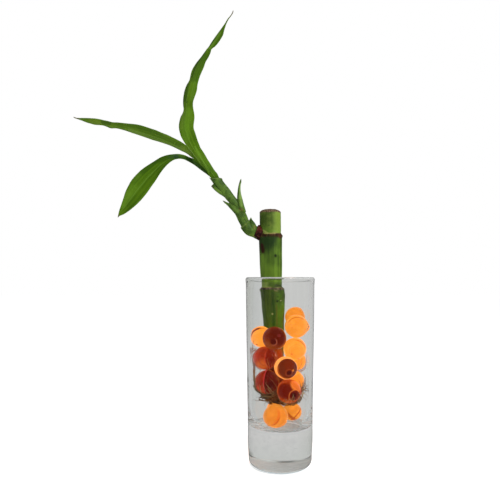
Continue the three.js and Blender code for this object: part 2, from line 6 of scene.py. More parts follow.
import bmesh
import bpy
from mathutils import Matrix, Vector


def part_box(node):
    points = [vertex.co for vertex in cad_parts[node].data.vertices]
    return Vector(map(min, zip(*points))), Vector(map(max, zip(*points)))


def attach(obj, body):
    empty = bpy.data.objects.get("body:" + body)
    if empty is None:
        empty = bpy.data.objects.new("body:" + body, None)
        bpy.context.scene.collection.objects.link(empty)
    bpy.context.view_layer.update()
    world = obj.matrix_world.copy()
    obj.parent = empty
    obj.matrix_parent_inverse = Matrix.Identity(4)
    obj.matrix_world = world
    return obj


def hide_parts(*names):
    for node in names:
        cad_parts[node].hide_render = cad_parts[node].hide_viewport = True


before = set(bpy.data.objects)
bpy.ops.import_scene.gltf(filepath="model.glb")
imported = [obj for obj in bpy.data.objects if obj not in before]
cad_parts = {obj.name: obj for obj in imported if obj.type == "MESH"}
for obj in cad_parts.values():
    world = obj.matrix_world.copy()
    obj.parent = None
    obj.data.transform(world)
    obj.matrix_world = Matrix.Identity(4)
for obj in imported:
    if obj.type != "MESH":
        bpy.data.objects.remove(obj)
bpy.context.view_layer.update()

MM = 0.001
HALF_TURN, FULL_TURN = 3.14, 6.28

# Sizes, in millimetres

FOOT_RADIUS, HEEL_RADIUS, HEEL_HEIGHT = 14.0, 17.7, 3.9
OUTER_WALL = [
    (17.75, 6.7), (18.15, 13), (18.2, 24.7), (18.5, 47.2), (18.87, 69.8), (19.1, 92.3), (19.15, 101),
]
LIP_OUTER, LIP_INNER, LIP_MIDDLE, VASE_HEIGHT = 19.4, 17.15, 103.5, 105.0
INNER_WALL = [(17.35, 96), (17.05, 69.8), (16.55, 47)]
BOWL_RADIUS, BOWL_TOP, FLOOR_RADIUS, FLOOR_HEIGHT, WALL_SLOPE = 16.0, 36.0, 12.6, 21.9, 0.03

CANE_LINE = [
    (-1.7, 9.2, 34.3), (-2.6, 9.8, 55), (-3.5, 9.7, 77), (-4.3, 8.4, 98), (-4.9, 8.8, 122),
    (-5.2, 9.2, 144),
]
CANE_RADII = [
    (34, 5.1), (45, 5.5), (77, 5.75), (90, 6.5), (97, 6.9), (101, 6.1), (115, 6.5), (128, 6.7), (131, 6.15),
    (144, 6.15),
]
CANE_END, CANE_TOP, CANE_DOME = 34.3, 143.0, 1.6
CANE_STEP, CANE_FIT, CANE_SWELLING = 0.5, 110.0, 0.95
LOWER_RING, UPPER_RING = 98.6, 129.2
# Each ring's height, how far it stands out and its half width, then the groove over it
RING_SWELLS = [(LOWER_RING, 0.5, 1.0), (UPPER_RING, 0.55, 0.9)]
GROOVE_DEPTH, GROOVE_ABOVE, GROOVE_WIDTH = 0.12, 1.9, 0.6
# Rings of corners on the cut top: how far in to the middle and how far up the dome. Then how ragged they are
CUT_RINGS = [(0.03, 0.12), (0.09, 0.3), (0.2, 0.55), (0.4, 0.8), (0.65, 0.92), (0.85, 0.9)]
CUT_RAGGED = 0.06
BUD_LINE = [(-6, 9.0, 129.3), (-9.4, 8.85, 130.2), (-13.5, 8.6, 131.9)]
BUD_RADII = [(0, 4.2), (0.7, 4.2), (1, 3.9)]

SHOOT_LINE = [
    (-12.2, 8.75, 130.9), (-16.9, 8.35, 132.6), (-19.9, 8.0, 136.5), (-22.0, 7.6, 141.0),
    (-24.2, 7.2, 145.6), (-27.9, 6.8, 150.5), (-31.2, 6.5, 154.6), (-34.2, 6.2, 158.2), (-36.5, 6.0, 161.6),
    (-38.4, 5.9, 164.4),
]
SHOOT_RADII = [
    (0, 3.6), (0.1, 3.1), (0.2, 2.8), (0.32, 2.6), (0.42, 2.6), (0.44, 2.95), (0.47, 2.5), (0.7, 2.35),
    (1, 2.15),
]
SHOOT_END = 0.9
SHEATHS = [
    {"start": 0.01, "end": 0.24, "facing": 0, "spread": 170, "side_reach": 0.84, "flare": 0.55},
    {"start": 0.2, "end": 0.43, "facing": 120, "spread": 150, "side_reach": 0.75, "flare": 0.05},
    {"start": 0.5, "end": 0.99, "facing": 185, "spread": 170, "side_reach": 0.8, "flare": 0.35},
]
SHEATH_WALL, SHEATH_SINK, SHEATH_STEP_OUT, SHEATH_FLUTE, SHEATH_TAPER = 0.28, 0.35, 0.55, 0.03, 1.3

# Leaves and small sheath scales, station by station: the places of both edges, and the fold in degrees
SCALE_UPRIGHT = [
    (-23.0, 5.2, 142.5, -19.1, 5.2, 142.5, -14), (-23.9, 5.0, 145.9, -20.2, 5.0, 145.9, -40),
    (-24.3, 5.2, 149.6, -21.1, 5.2, 149.3, -40), (-24.1, 5.8, 153.5, -22.2, 5.8, 153.9, -40),
    (-23.6, 6.2, 157.3, -22.3, 6.2, 157.8, -40), (-22.9, 6.4, 160.0, -21.9, 6.4, 160.0, -40),
    (-22.3, 6.4, 161.6, -21.9, 6.4, 161.6, -14),
]
SCALE_POINTED = [
    (-21.2, 5.0, 132.7, -18.3, 5.0, 135.6, -10), (-22.5, 4.6, 135.2, -20.3, 4.6, 138.1, -30),
    (-23.8, 4.4, 138.4, -21.8, 4.4, 141.5, -30), (-25.6, 4.3, 141.3, -23.3, 4.3, 143.7, -30),
    (-27.9, 4.2, 143.9, -25.4, 4.2, 145.6, -30), (-29.9, 4.0, 146.1, -27.9, 4.0, 146.9, -30),
    (-31.4, 3.9, 147.4, -30.4, 3.9, 148.0, -30), (-32.5, 3.8, 148.7, -32.1, 3.8, 148.8, -10),
]
SCALE_TORN = [
    (-30.4, 5.6, 150.0, -29.6, 5.6, 151.1, -9), (-32.2, 5.4, 151.4, -31.0, 5.4, 152.9, -25),
    (-34.5, 5.2, 152.8, -32.9, 5.2, 154.8, -25), (-36.7, 5.0, 154.5, -34.9, 5.0, 156.8, -25),
    (-38.1, 4.9, 155.9, -36.4, 4.9, 157.8, -25), (-39.2, 4.8, 157.2, -37.7, 4.8, 158.6, -9),
]
SCALE_CUP = [
    (-16.7, 6.2, 129.9, -13.2, 6.2, 132.2, -10), (-17.4, 5.9, 133.6, -13.3, 5.9, 134.7, -30),
    (-17.3, 5.8, 136.4, -14.2, 5.8, 136.3, -30), (-17.0, 5.9, 138.2, -15.6, 5.9, 138.1, -30),
    (-16.5, 6.0, 139.4, -16.2, 6.0, 139.3, -10),
]
SCALE_CORNER = [
    (-34.7, 5.6, 158.9, -32.4, 5.6, 158.9, -7), (-34.1, 5.4, 160.4, -32.5, 5.4, 160.3, -20),
    (-33.2, 5.4, 161.8, -32.9, 5.4, 161.7, -7),
]
LEAF_UP = [
    (-37.7, 5.0, 160.1, -34.4, 5.0, 161.6, -2), (-40.3, 4.8, 163.2, -35.6, 4.5, 164.3, -21),
    (-41.8, 4.6, 166.0, -36.9, 4.1, 165.8, -31), (-43.5, 4.5, 168.2, -38.4, 3.7, 168.0, -34),
    (-45.4, 4.5, 170.3, -39.7, 3.4, 170.1, -34), (-47.2, 4.5, 172.6, -41.1, 3.0, 172.2, -31),
    (-49.0, 4.5, 174.7, -42.3, 2.6, 174.3, -29), (-50.8, 4.6, 177.0, -43.6, 2.2, 176.4, -26),
    (-52.4, 4.5, 179.1, -44.9, 1.8, 178.4, -24), (-54.0, 4.4, 181.3, -45.7, 1.5, 180.5, -21),
    (-55.3, 4.3, 183.5, -46.5, 1.1, 182.6, -19), (-56.3, 4.2, 185.6, -47.1, 0.6, 184.6, -17),
    (-56.9, 4.1, 187.8, -47.8, 0.1, 186.7, -16), (-57.3, 4.0, 190.0, -48.5, -0.4, 188.6, -16),
    (-57.3, 4.0, 192.2, -48.6, -1.0, 190.6, -16), (-57.0, 4.1, 194.4, -48.3, -1.7, 192.6, -16),
    (-56.5, 4.0, 196.6, -48.1, -2.3, 194.5, -16), (-55.4, 3.5, 198.6, -48.2, -2.5, 196.6, -16),
    (-54.8, 2.9, 200.5, -48.5, -2.6, 198.6, -16), (-55.0, 2.7, 202.7, -48.6, -3.2, 200.7, -15),
    (-55.0, 2.5, 204.8, -48.3, -3.8, 202.6, -14), (-54.7, 2.1, 206.9, -47.5, -4.3, 204.6, -15),
    (-53.7, 0.9, 210.5, -46.2, -4.7, 208.4, -18), (-52.3, -0.3, 213.2, -45.9, -4.9, 211.4, -18),
    (-50.7, -1.3, 215.4, -45.3, -5.3, 213.8, -18), (-50.1, -1.8, 217.8, -44.5, -6.0, 216.1, -18),
    (-49.4, -2.3, 220.2, -43.3, -7.0, 218.3, -18), (-48.2, -2.9, 222.4, -42.2, -7.7, 220.4, -17),
    (-46.4, -3.9, 224.6, -41.2, -8.3, 222.7, -17), (-44.2, -4.8, 226.8, -39.5, -9.0, 225.0, -16),
    (-42.2, -5.8, 228.9, -38.3, -9.4, 227.3, -16), (-40.8, -6.7, 230.2, -37.8, -9.4, 229.0, -16),
    (-39.4, -6.8, 231.8, -35.7, -10.3, 230.2, -16), (-38.0, -7.3, 233.7, -33.9, -11.0, 232.0, -16),
    (-36.5, -7.9, 235.5, -32.6, -11.5, 233.8, -16), (-35.0, -8.7, 237.2, -31.5, -11.9, 235.7, -15),
    (-33.4, -9.8, 238.8, -31.0, -12.0, 237.7, -13), (-31.6, -11.0, 240.7, -30.2, -12.2, 240.1, -11),
    (-30.4, -11.7, 242.0, -29.6, -12.5, 241.5, -10), (-29.1, -12.4, 243.8, -28.5, -13.0, 243.4, -7),
    (-27.4, -13.2, 245.4, -27.0, -13.6, 245.1, -3), (-26.4, -13.6, 246.8, -26.0, -14.1, 246.5, -1),
    (-26.0, -13.9, 247.7, -25.8, -14.1, 247.6, 0),
]
LEAF_LEFT = [
    (-38.2, 6.0, 161.0, -37.6, 6.0, 161.9, -2), (-41.1, 6.3, 165.4, -40.6, 5.9, 166.0, -7),
    (-44.9, 6.9, 169.4, -44.0, 6.1, 169.8, -12), (-47.8, 7.7, 172.6, -46.9, 6.3, 173.1, -14),
    (-51.1, 9.4, 175.1, -49.2, 6.1, 175.8, -14), (-54.3, 11.3, 177.7, -51.7, 5.5, 178.9, -14),
    (-57.8, 12.8, 179.5, -54.7, 5.0, 181.3, -14), (-61.2, 13.8, 181.3, -57.8, 5.0, 183.4, -14),
    (-64.6, 14.8, 183.0, -61.0, 5.1, 185.2, -14), (-68.0, 15.7, 184.5, -64.1, 5.3, 186.9, -14),
    (-71.3, 16.4, 185.9, -67.4, 5.8, 188.3, -14), (-74.7, 17.1, 187.2, -70.6, 6.3, 189.7, -14),
    (-78.0, 17.4, 188.5, -74.0, 7.0, 190.8, -14), (-81.2, 17.7, 189.6, -77.3, 7.7, 191.9, -14),
    (-84.6, 18.2, 190.7, -80.6, 8.2, 192.9, -14), (-87.8, 18.4, 191.6, -83.9, 8.9, 193.7, -14),
    (-90.9, 18.5, 192.6, -87.4, 9.8, 194.4, -14), (-94.0, 18.5, 193.5, -90.9, 10.8, 195.2, -14),
    (-97.2, 18.6, 194.3, -94.3, 11.6, 195.9, -14), (-100.5, 19.2, 194.6, -97.6, 11.8, 196.2, -13),
    (-103.1, 19.2, 195.7, -100.5, 12.6, 197.1, -12), (-104.6, 19.0, 196.3, -102.3, 13.2, 197.5, -12),
    (-107.4, 19.4, 196.8, -105.1, 13.4, 198.1, -11), (-110.3, 19.9, 197.1, -107.8, 13.5, 198.5, -10),
    (-113.0, 19.9, 197.7, -110.7, 14.2, 198.9, -9), (-115.5, 19.7, 198.3, -113.6, 14.9, 199.3, -7),
    (-118.0, 19.1, 199.2, -116.8, 16.1, 199.8, -5), (-120.3, 18.4, 199.9, -119.8, 17.2, 200.2, -2),
    (-121.7, 18.3, 200.4, -121.3, 17.5, 200.6, -1), (-122.6, 18.2, 200.9, -122.5, 17.8, 201.0, 0),
]
LEAF_LOW = [
    (-38.4, 7.0, 161.6, -38.3, 7.0, 162.5, 1), (-41.2, 8.6, 164.2, -41.2, 8.6, 166.0, 6),
    (-44.3, 9.7, 166.6, -44.1, 9.9, 169.6, 10), (-46.8, 9.9, 168.5, -46.3, 10.3, 172.1, 13),
    (-49.3, 9.4, 170.4, -48.6, 10.2, 173.8, 18), (-52.3, 6.8, 171.8, -51.8, 8.0, 174.5, 21),
    (-54.9, 3.1, 172.3, -54.7, 4.6, 175.0, 20), (-57.2, 0.2, 171.8, -57.7, 2.1, 174.9, 18),
    (-59.5, -2.5, 170.4, -60.6, 0.1, 174.2, 15), (-61.7, -5.0, 168.0, -63.6, -1.0, 173.5, 12),
    (-63.7, -6.9, 165.2, -67.0, -1.5, 172.3, 10), (-65.9, -8.3, 161.9, -70.1, -2.9, 170.0, 9),
    (-68.2, -9.3, 158.0, -73.3, -4.6, 167.3, 9), (-70.5, -10.1, 154.4, -76.2, -6.3, 164.5, 9),
    (-72.9, -10.8, 150.5, -78.7, -7.9, 161.4, 9), (-75.3, -11.6, 147.1, -81.1, -9.2, 158.1, 9),
    (-77.7, -12.9, 144.0, -83.1, -9.6, 154.6, 9), (-80.3, -14.0, 141.4, -84.7, -10.0, 151.2, 9),
    (-82.8, -13.9, 139.7, -85.5, -11.2, 147.6, 11), (-84.8, -13.9, 138.6, -86.3, -12.3, 144.1, 8),
    (-86.3, -13.9, 138.0, -87.1, -13.1, 140.9, 4), (-87.0, -13.9, 137.6, -87.5, -13.7, 138.5, 2),
    (-87.5, -14.0, 136.9, -87.7, -14.0, 137.1, 0),
]
LEAF_WALL, SCALE_WALL = 0.34, 0.3

# Marks on the living parts: a spot or a short line, its half width, colour and strength.
# On a leaf their depth is 0
# Painted light and shade on the upper leaf: lighter where it faces the light, darker at its twists, folds and
# shaded edges.
LEAF_UP_PAINTED_LIGHT_AND_SHADE = [
    ([(-34.3, 0, 237.2), (-39.6, 0, 230.2)], 2.04, (98, 136, 40), 0.6),
    ([(-35.7, 0, 235.2), (-39.7, 0, 231.3)], 0.45, (40, 70, 20), 0.7),
    ([(-39.3, 0, 228.9)], 0.68, (40, 60, 20), 0.7),
    ([(-42.7, 0, 226.4), (-47.3, 0, 215.2)], 2.83, (60, 92, 22), 0.6),
    ([(-44.4, 0, 226.2), (-49.3, 0, 216.5)], 0.62, (40, 65, 20), 0.6),
    ([(-52.2, 0, 213.5), (-53.7, 0, 204.9)], 1.47, (48, 78, 14), 0.7),
    ([(-47.6, 0, 212.6), (-49.4, 0, 204.1)], 1.13, (92, 128, 36), 0.5),
    ([(-52.3, 0, 203.1)], 0.68, (40, 60, 20), 0.6),
    ([(-52.0, 0, 197.7), (-53.8, 0, 184.1)], 3.12, (92, 132, 28), 0.6),
    ([(-48.0, 0, 178.8), (-40.3, 0, 165.1)], 0.57, (104, 142, 48), 0.4),
    ([(-54.1, 0, 181.5), (-45.5, 0, 170.3)], 0.4, (132, 162, 80), 0.45),
    ([(-54.7, 0, 200.2), (-55.8, 0, 189.8)], 1.25, (104, 136, 40), 0.55),
    ([(-47.5, 0, 176.0), (-45.9, 0, 172.8)], 1.36, (92, 126, 26), 0.5),
]
# Painted light and shade on the left leaf, darker along its upper edge, with a dry spot near its tip.
LEAF_LEFT_PAINTED_LIGHT_SHADE_AND_DRY_SPOT = [
    ([(-94.0, 0, 194.9), (-74.8, 0, 190.0)], 1.36, (56, 86, 16), 0.3),
    ([(-74.8, 0, 190.0), (-56.1, 0, 180.4)], 1.36, (54, 84, 16), 0.4),
    ([(-88.0, 0, 191.8), (-56.8, 0, 179.1)], 1.25, (98, 126, 48), 0.5),
    ([(-120.6, 0, 200.4), (-119.2, 0, 200.1)], 0.57, (86, 72, 42), 0.8),
    ([(-112.1, 0, 198.1), (-106.0, 0, 197.0)], 0.91, (92, 112, 30), 0.5),
    ([(-104.5, 0, 197.0), (-99.4, 0, 195.8)], 0.91, (48, 72, 12), 0.7),
    ([(-56.2, 0, 179.8), (-51.6, 0, 176.3)], 1.36, (100, 122, 44), 0.5),
]
# Painted light and shade on the low leaf: darker near the stem and round its arch, with a paler patch further
# out.
LEAF_LOW_PAINTED_LIGHT_AND_SHADE = [
    ([(-61.7, 0, 172.4), (-51.7, 0, 173.0)], 1.81, (38, 66, 24), 0.75),
    ([(-51.7, 0, 173.0), (-40.6, 0, 164.9)], 2.04, (28, 52, 12), 0.85),
    ([(-58.6, 0, 173.1)], 1.7, (30, 55, 38), 0.6),
    ([(-80.5, 0, 153.5), (-85.4, 0, 145.0)], 2.83, (84, 118, 28), 0.35),
    ([(-83.0, 0, 150.1), (-86.1, 0, 143.9)], 2.27, (88, 124, 30), 0.4),
    ([(-75.7, 0, 163.4), (-70.9, 0, 168.8)], 1.93, (42, 70, 8), 0.5),
    ([(-70.3, 0, 169.2), (-63.8, 0, 171.6)], 1.93, (44, 72, 8), 0.65),
]
CANE_MARKS = [
    ([(-6.1, 2.9, 134.5)], 0.62, (40, 60, 20), 0.6),
    ([(-10.0, 5.3, 139.0), (-10.0, 5.3, 133.3)], 0.74, (60, 80, 25), 0.6),
    ([(-10.8, 4.9, 133.0), (-10.1, 4.8, 130.6)], 0.45, (176, 170, 104), 0.65),
    ([(-9.2, 4.4, 131.8), (-6.7, 2.6, 129.9)], 0.57, (144, 142, 80), 0.5),
    ([(-5.6, 2.2, 129.8), (-2.7, 2.6, 130.1)], 0.45, (150, 136, 84), 0.5),
    ([(-1.8, 2.9, 129.3), (1.3, 7.3, 129.9)], 0.96, (48, 24, 14), 0.85),
    ([(-9.6, 4.2, 129.9), (-8.1, 2.5, 128.7)], 0.74, (44, 18, 12), 0.9),
    ([(0.3, 4.5, 128.6), (0.5, 5.0, 127.5)], 0.91, (70, 35, 25), 0.8),
    ([(-10.1, 4.7, 123.2), (-9.5, 4.1, 120.0)], 1.64, (46, 15, 10), 0.92),
    ([(-2.4, 2.7, 117.3)], 1.02, (15, 25, 5), 0.95),
    ([(0.5, 5.0, 125.8), (0.6, 4.9, 105.8)], 0.51, (50, 62, 22), 0.6),
    ([(-1.8, 2.9, 100.7), (2.2, 7.2, 99.3)], 1.47, (40, 42, 18), 0.75),
    ([(-3.0, 1.5, 97.6), (-1.3, 2.1, 97.3)], 0.4, (138, 108, 90), 0.5),
    ([(-1.3, 2.5, 91.5)], 0.91, (10, 20, 5), 0.95),
    ([(-1.0, 2.3, 94.1)], 0.57, (16, 24, 8), 0.9),
    ([(0.8, 3.5, 91.8)], 0.4, (200, 195, 150), 0.8),
    ([(-1.8, 2.5, 89.3), (-1.6, 4.0, 77.8)], 0.45, (92, 70, 36), 0.5),
    ([(-3.5, 2.2, 91.6), (-3.4, 4.0, 77.8)], 1.02, (25, 66, 12), 0.55),
    ([(-4.2, 3.2, 84.2)], 0.62, (172, 176, 112), 0.75),
    # painted orange light from the gel beads on the cane's lower part
    ([(-0.6, 4.6, 60.6)], 4.82, (158, 80, 28), 0.9),
    ([(-3.6, 1.6, 99.5), (1.3, 6.2, 100.7)], 1.25, (52, 66, 20), 0.75),
    ([(-9.8, 4.4, 117.2), (-9.5, 4.7, 105.2)], 1.7, (92, 122, 34), 0.6),
    ([(-12.5, 8.3, 134.2), (-14.3, 6.1, 128.8)], 0.45, (152, 122, 90), 0.5),
]
SHOOT_MARKS = [
    ([(-38.2, 5.9, 159.2), (-31.2, 5.2, 151.1)], 0.34, (42, 62, 20), 0.6),
    ([(-36.9, 4.5, 155.8), (-33.8, 4.6, 153.5)], 0.85, (100, 132, 40), 0.6),
    # painted light that lifts the shade cast by the sheath
    ([(-36.0, 3.5, 159.3), (-33.4, 3.7, 155.9)], 1.47, (82, 112, 38), 0.7),
    ([(-38.5, 4.7, 156.7)], 0.79, (72, 52, 30), 0.8),
    ([(-31.7, 3.7, 147.9)], 0.68, (62, 60, 26), 0.7),
    ([(-22.2, 6.2, 158.4), (-22.3, 4.5, 150.4)], 1.13, (122, 152, 80), 0.65),
    ([(-21.9, 6.3, 160.0)], 0.62, (50, 60, 25), 0.8),
    ([(-22.6, 4.5, 144.1), (-21.5, 4.3, 143.6)], 0.91, (98, 84, 44), 0.65),
    ([(-21.3, 4.5, 134.1), (-19.1, 4.6, 135.4)], 0.34, (130, 112, 76), 0.3),
    ([(-21.2, 4.9, 133.0)], 0.51, (40, 50, 20), 0.7),
    ([(-16.3, 5.4, 137.9)], 0.79, (36, 52, 22), 0.7),
    ([(-17.2, 4.9, 133.8)], 1.93, (46, 70, 28), 0.7),
    ([(-19.6, 4.8, 134.0)], 1.02, (46, 68, 22), 0.5),
    ([(-22.3, 4.2, 142.0)], 1.47, (54, 74, 22), 0.65),
    ([(-22.4, 4.7, 151.0), (-21.8, 3.9, 146.3)], 1.36, (108, 138, 58), 0.75),
    ([(-23.7, 4.6, 149.2), (-23.2, 4.5, 144.6)], 0.45, (36, 58, 20), 0.6),
    ([(-28.6, 3.9, 147.2), (-24.3, 3.9, 144.1)], 0.34, (44, 66, 24), 0.5),
    ([(-14.3, 5.3, 134.4), (-14.9, 6.7, 128.8)], 0.51, (140, 112, 74), 0.5),
]

# How far the shapes seen in a bead waver, in its radii, and how deep its skin is dented, in millimetres
BEAD_WOBBLE, BEAD_DENTS = 0.1, 0.5
# The bead with a corner drawn out of it: the corner's half angle in radians, and which way it points
BEAD_CORNERS = {"bead_08": 0.6}
CORNER_WAY = (1.0, -0.1, -0.12)
# How many roots cradle each of the lower beads
ROOT_CRADLES = [("bead_04", 36), ("bead_05", 50), ("bead_11", 34), ("bead_02", 8), ("bead_10", 12)]
CRADLE_NEAR, CRADLE_DEPTH = 0.3, 1.2
# Between which ends a cradling root leans: to the right, back and up
CRADLE_LEAN = [(-0.5, 0.7), (-0.3, 0.5), (-1.0, -0.4)]
# The way of the roots that climb the glass on the left
ROOT_CLIMB = [
    (-5.0, -2.0, 38.5), (-8.5, -5.0, 40.0), (-11.3, -6.2, 41.7), (-13.3, -7.0, 45.0), (-14.0, -7.2, 49.5),
    (-14.2, -6.5, 55.0), (-14.4, -5.5, 60.0), (-14.6, -4.5, 64.5),
]
# Roots that lie in bowls round the lower beads: how many, from which turn to which, in degrees, and how deep
ROOT_BASKETS = [
    ("bead_04", 18, 195, 300, 0.8), ("bead_04", 46, 246, 320, 4.2), ("bead_05", 16, 215, 372, 0.9),
    ("bead_11", 8, 300, 390, 1.2),
]
# Where loose roots start, which way they face in degrees, and how many
ROOT_STRAYS = [
    ((-8.0, -1.0, 38.0), 200, 12), ((10.5, -3.0, 42.0), -20, 20), ((-1.7, 6.0, 34.3), 270, 14),
    ((-14.6, -4.5, 64.0), 180, 10),
]
PATH_SEED, TONE_SEED, HAIR_SEED = 11, 3, 5
CLIMBING_ROOTS = 20
ROOT_SIZES = {"Fibre radius": 0.19, "Wander": 0.9, "Hair length": 1.3, "Hair spacing": 2.0}
# How far the roots' lines, and then their skin, keep from the beads and the glass
LINE_SPARE, SKIN_SPARE = 0.25, 0.08
# Where the gel beads that have settled or swollen differ from plain balls: right, back, up and radius
BEAD_NUDGE = {
    "bead_01": (-0.6, 0.0, 0.1, 0.0), "bead_03": (-0.4, 0.0, 0.5, -0.18), "bead_04": (0.0, 0.0, 0.3, -0.4),
    "bead_05": (-0.6, 0.0, 0.5, 0.0), "bead_07": (0.5, -0.1, 0.0, 0.1), "bead_09": (-0.4, 0.0, 0.0, 0.1),
    "bead_10": (0.0, 0.0, 0.0, 0.2), "bead_11": (0.0, 0.0, 0.0, 0.08), "bead_13": (-0.5, 0.0, 0.3, 0.45),
    "bead_14": (-0.7, 0.0, 0.0, 0.0),
}
